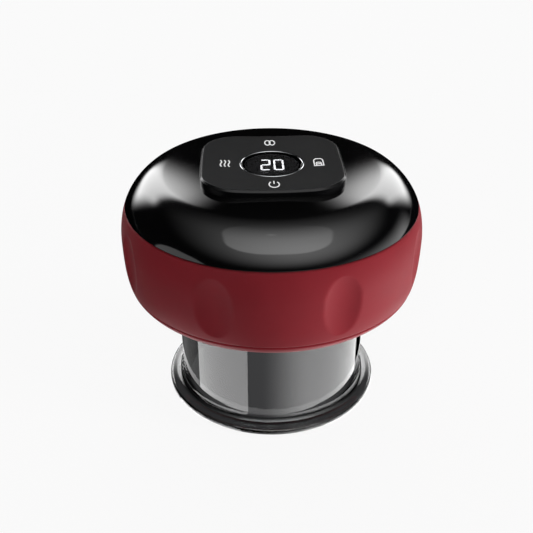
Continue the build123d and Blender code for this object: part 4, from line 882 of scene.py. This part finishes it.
def inkTree():
    # Ribbons of ink along paths, as wide as the line and sunk into the panel
    tree, given = newTree("ink lines", {"Paths": "Geometry", "Line Width": "Float", "Depth": "Float",
                                        "Stretch": "Float", "Finish": "Material"})
    line = addNode(tree, "GeometryNodeMeshToCurve", {"Mesh": given["Paths"]})
    line = addNode(tree, "GeometryNodeSetCurveNormal", {"mode": "Z_UP", "Curve": line})
    cut = addNode(tree, "GeometryNodeCurvePrimitiveQuadrilateral",
                  {"Width": given["Line Width"], "Height": given["Depth"]})
    ribbon = addNode(tree, "GeometryNodeCurveToMesh",
                     {"Fill Caps": True, "Curve": line, "Profile Curve": cut})
    scale = addNode(tree, "ShaderNodeCombineXYZ", {"X": 1.0, "Y": given["Stretch"], "Z": 1.0})
    ribbon = addNode(tree, "GeometryNodeTransform", {"Geometry": ribbon, "Scale": scale})
    return closedTree(tree, ribbon, given["Finish"])


def makeIcons():
    places, edges = [], []
    for path in iconPaths():
        for k, (x, y) in enumerate(path):
            if k:
                edges.append((len(places) - 1, len(places)))
            z = dishHeight(x, y) + icons["proud"] - icons["deep"] / 2
            places.append((x * mm, y / icons["stretch"] * mm, z * mm))
    source = bpy.data.meshes.new("icon_paths")
    source.from_pydata(places, edges, [])
    sizes = {"Line Width": icons["line"] * mm, "Depth": icons["deep"] * mm, "Stretch": icons["stretch"]}
    piece = plainPiece("icon_ink", source, inkTree(), {**sizes, "Finish": finishes["icon_white"]})
    standFor(piece, "housing", "icon_white", "icon_windows")


makeIcons()

# Display: chromed ring, smoked lens, light guides of the digits under it
display = {"ringIn": 10.75, "ringOut": 11.35, "ringTop": 90.3, "ringFoot": 0.1, "ringRound": 0.25,
           "lensRadius": 10.7, "lensTop": 90.17, "lensFoot": 0.05, "lensRound": 0.15,
           "lensUnder": (0, 5, 10.2, 10.6), "lensFace": (10.5, 10.2, 5, 0)}
digits = {"width": 3.65, "height": 9.1, "gap": 1.0, "stroke": 0.68, "split": 0.08, "low": 88.76, "top": 88.84,
          "x": 0.1, "lit": ("abged", "abcdef")}


def makeDigits():
    # Bars with pointed ends, lettered as usual: a on top, clockwise to f, g in the middle
    stroke = digits["stroke"]
    half, tall, tip = (digits["width"] - stroke) / 2, (digits["height"] - stroke) / 2, stroke / 2
    places = {"a": (0, tall, 0), "b": (half, tall / 2, 1), "c": (half, -tall / 2, 1), "d": (0, -tall, 0),
              "e": (-half, -tall / 2, 1), "f": (-half, tall / 2, 1), "g": (0, 0, 0)}
    guides = []
    for side, lit in zip((-1, 1), digits["lit"]):
        for x, y, upright in [places[letter] for letter in lit]:
            x += side * (digits["width"] + digits["gap"]) / 2 + digits["x"]
            long = (tall / 2 if upright else half) - digits["split"]
            ring = [(-long, 0), (tip - long, -tip), (long - tip, -tip), (long, 0), (long - tip, tip),
                    (tip - long, tip)]
            ring = [(x - v, y + u) if upright else (x + u, y + v) for u, v in ring]
            guides.append([flat(ring, digits["low"]), flat(ring, digits["top"])])
    piece = bars("digit_light_guides", guides, finishes["segment_light"])
    standFor(piece, "housing", "segment_light", "display_segments")


def makeDisplay():
    low, inner, outer, top = panel["lensLow"], display["ringIn"], display["ringOut"], display["ringTop"]
    ring = [(inner, low, display["ringFoot"]), (outer, low, display["ringFoot"]),
            (outer, top, display["ringRound"]), (inner, top, display["ringRound"])]
    standFor(turned("display_ring_chromed", ring, "ring_chrome"), "housing", "ring_chrome", "display_ring")
    edge, top = display["lensRadius"], display["lensTop"]
    lens = [(r, low, 0) for r in display["lensUnder"]] + [(edge, low, display["lensFoot"])]
    lens += [(edge, top, display["lensRound"])] + [(r, top, 0) for r in display["lensFace"]]
    standFor(turned("display_lens_smoked", lens, "lens_glass"), "housing", "lens_glass", "display_lens")
    makeDigits()


makeDisplay()
print("panel and display made")

# Heating plate: turned rings on its underside round the filter
plate = {"inner": 7.2, "outer": 19.0, "low": 46.5, "high": 47.5, "innerRound": 0.15, "outerRound": 0.3,
         "rings": 9, "first": 8.0, "pitch": 1.15, "deep": 0.12, "slope": 0.12, "groove": 0.5}


def makePlate():
    low, high, deep, slope = plate["low"], plate["high"], plate["low"] + plate["deep"], plate["slope"]
    corners = [(plate["inner"], high, 0), (plate["inner"], low, plate["innerRound"])]
    for k in range(plate["rings"]):
        start = plate["first"] + plate["pitch"] * k
        end = start + plate["groove"]
        corners += [(start, low, 0), (start + slope, deep, 0), (end - slope, deep, 0), (end, low, 0)]
    corners += [(plate["outer"], low, plate["outerRound"]), (plate["outer"], high, 0)]
    piece = turned("heating_plate_turned", corners, "plate_aluminium")
    standFor(piece, "housing", "plate_aluminium", "heating_plate")


makePlate()

# Case screws: cross recess, heads sunk in the wells of the underside
screws = {"head": 1.95, "headRound": 0.35, "shank": 1.1, "low": 43.85, "seat": 45.2, "seatRound": 0.1,
          "high": 52.0, "tipRound": 0.2, "recess": 2.2, "slot": 0.5, "deep": 0.9, "over": 0.1, "taper": 0.6,
          "steps": 48, "seed": 3}


def screwTree():
    # A screw at each point of a ring, each stopped at its own turn
    tree, given = newTree("screw ring", {"Screw": "Geometry", "Count": "Int", "Ring Radius": "Float",
                                         "First Screw": "Float", "Seed": "Int", "Finish": "Material"})
    ring = addNode(tree, "GeometryNodeMeshCircle",
                   {"Vertices": given["Count"], "Radius": given["Ring Radius"]})
    start = addNode(tree, "ShaderNodeCombineXYZ", {"Z": given["First Screw"]})
    ring = addNode(tree, "GeometryNodeTransform", {"Geometry": ring, "Rotation": start})
    stop = addNode(tree, "FunctionNodeRandomValue", {2: 0.0, 3: pi / 2, "Seed": given["Seed"]}).outputs[1]
    stop = addNode(tree, "ShaderNodeCombineXYZ", {"Z": stop})
    placed = addNode(tree, "GeometryNodeInstanceOnPoints",
                     {"Points": ring, "Instance": given["Screw"], "Rotation": stop})
    return closedTree(tree, placed, given["Finish"])


def makeScrews():
    low, seat, high, head, shank = [screws[key] for key in ("low", "seat", "high", "head", "shank")]
    corners = [(0, low, 0), (head, low, screws["headRound"]), (head, seat, screws["seatRound"]),
               (shank, seat, 0), (shank, high, screws["tipRound"]), (0, high, 0)]
    screw = turned("one_screw", corners, "screw_steel", screws["steps"])
    long, short = screws["recess"] / 2, screws["slot"] / 2
    arm = [(short, long), (-short, long), (-short, short)]
    cross = arm + [(-y, x) for x, y in arm] + [(-x, -y) for x, y in arm] + [(y, -x) for x, y in arm]
    tapered = [(x * screws["taper"], y * screws["taper"]) for x, y in cross]
    ends = [flat(cross, low - screws["over"]), flat(tapered, low + screws["deep"])]
    carved(screw, bars("cross_recess", [ends], finishes["screw_steel"]))
    piece = plainPiece("case_screws_set", screw.data.copy(), screwTree(), {
        "Count": cover["screws"], "Ring Radius": cover["screwRing"] * mm,
        "First Screw": radians(cover["firstScrew"]), "Seed": screws["seed"],
        "Finish": finishes["screw_steel"]})
    bpy.data.objects.remove(screw)
    standFor(piece, "housing", "screw_steel", "case_screws")


makeScrews()
print("underside made")

# Key plungers: rounded ends, just clear of the bottom of their switches when a key is fully down
plungers = {"keys": ("power", "mode", "heat", "cupping"), "radius": 1.7, "clear": 0.04, "lowRound": 0.15,
            "highRound": 0.3, "steps": 64}


def makePlunger(key):
    places = [vertex.co for vertex in nodes[key + "_plunger"].data.vertices]
    (left, right), (front, back), (low, high) = [
        [pick(place[k] for place in places) for pick in (min, max)] for k in (0, 1, 2)]
    low, high, radius = low / mm + plungers["clear"], high / mm, plungers["radius"]
    corners = [(0, low, 0), (radius, low, plungers["lowRound"]), (radius, high, plungers["highRound"]),
               (0, high, 0)]
    piece = turned(key + "_plunger_turned", corners, "plunger_white", plungers["steps"])
    for vertex in piece.data.vertices:
        vertex.co.x += (left + right) / 2
        vertex.co.y += (front + back) / 2
    standFor(piece, key + "_key", "plunger_white", key + "_plunger")


for key in plungers["keys"]:
    makePlunger(key)
print("plungers made")
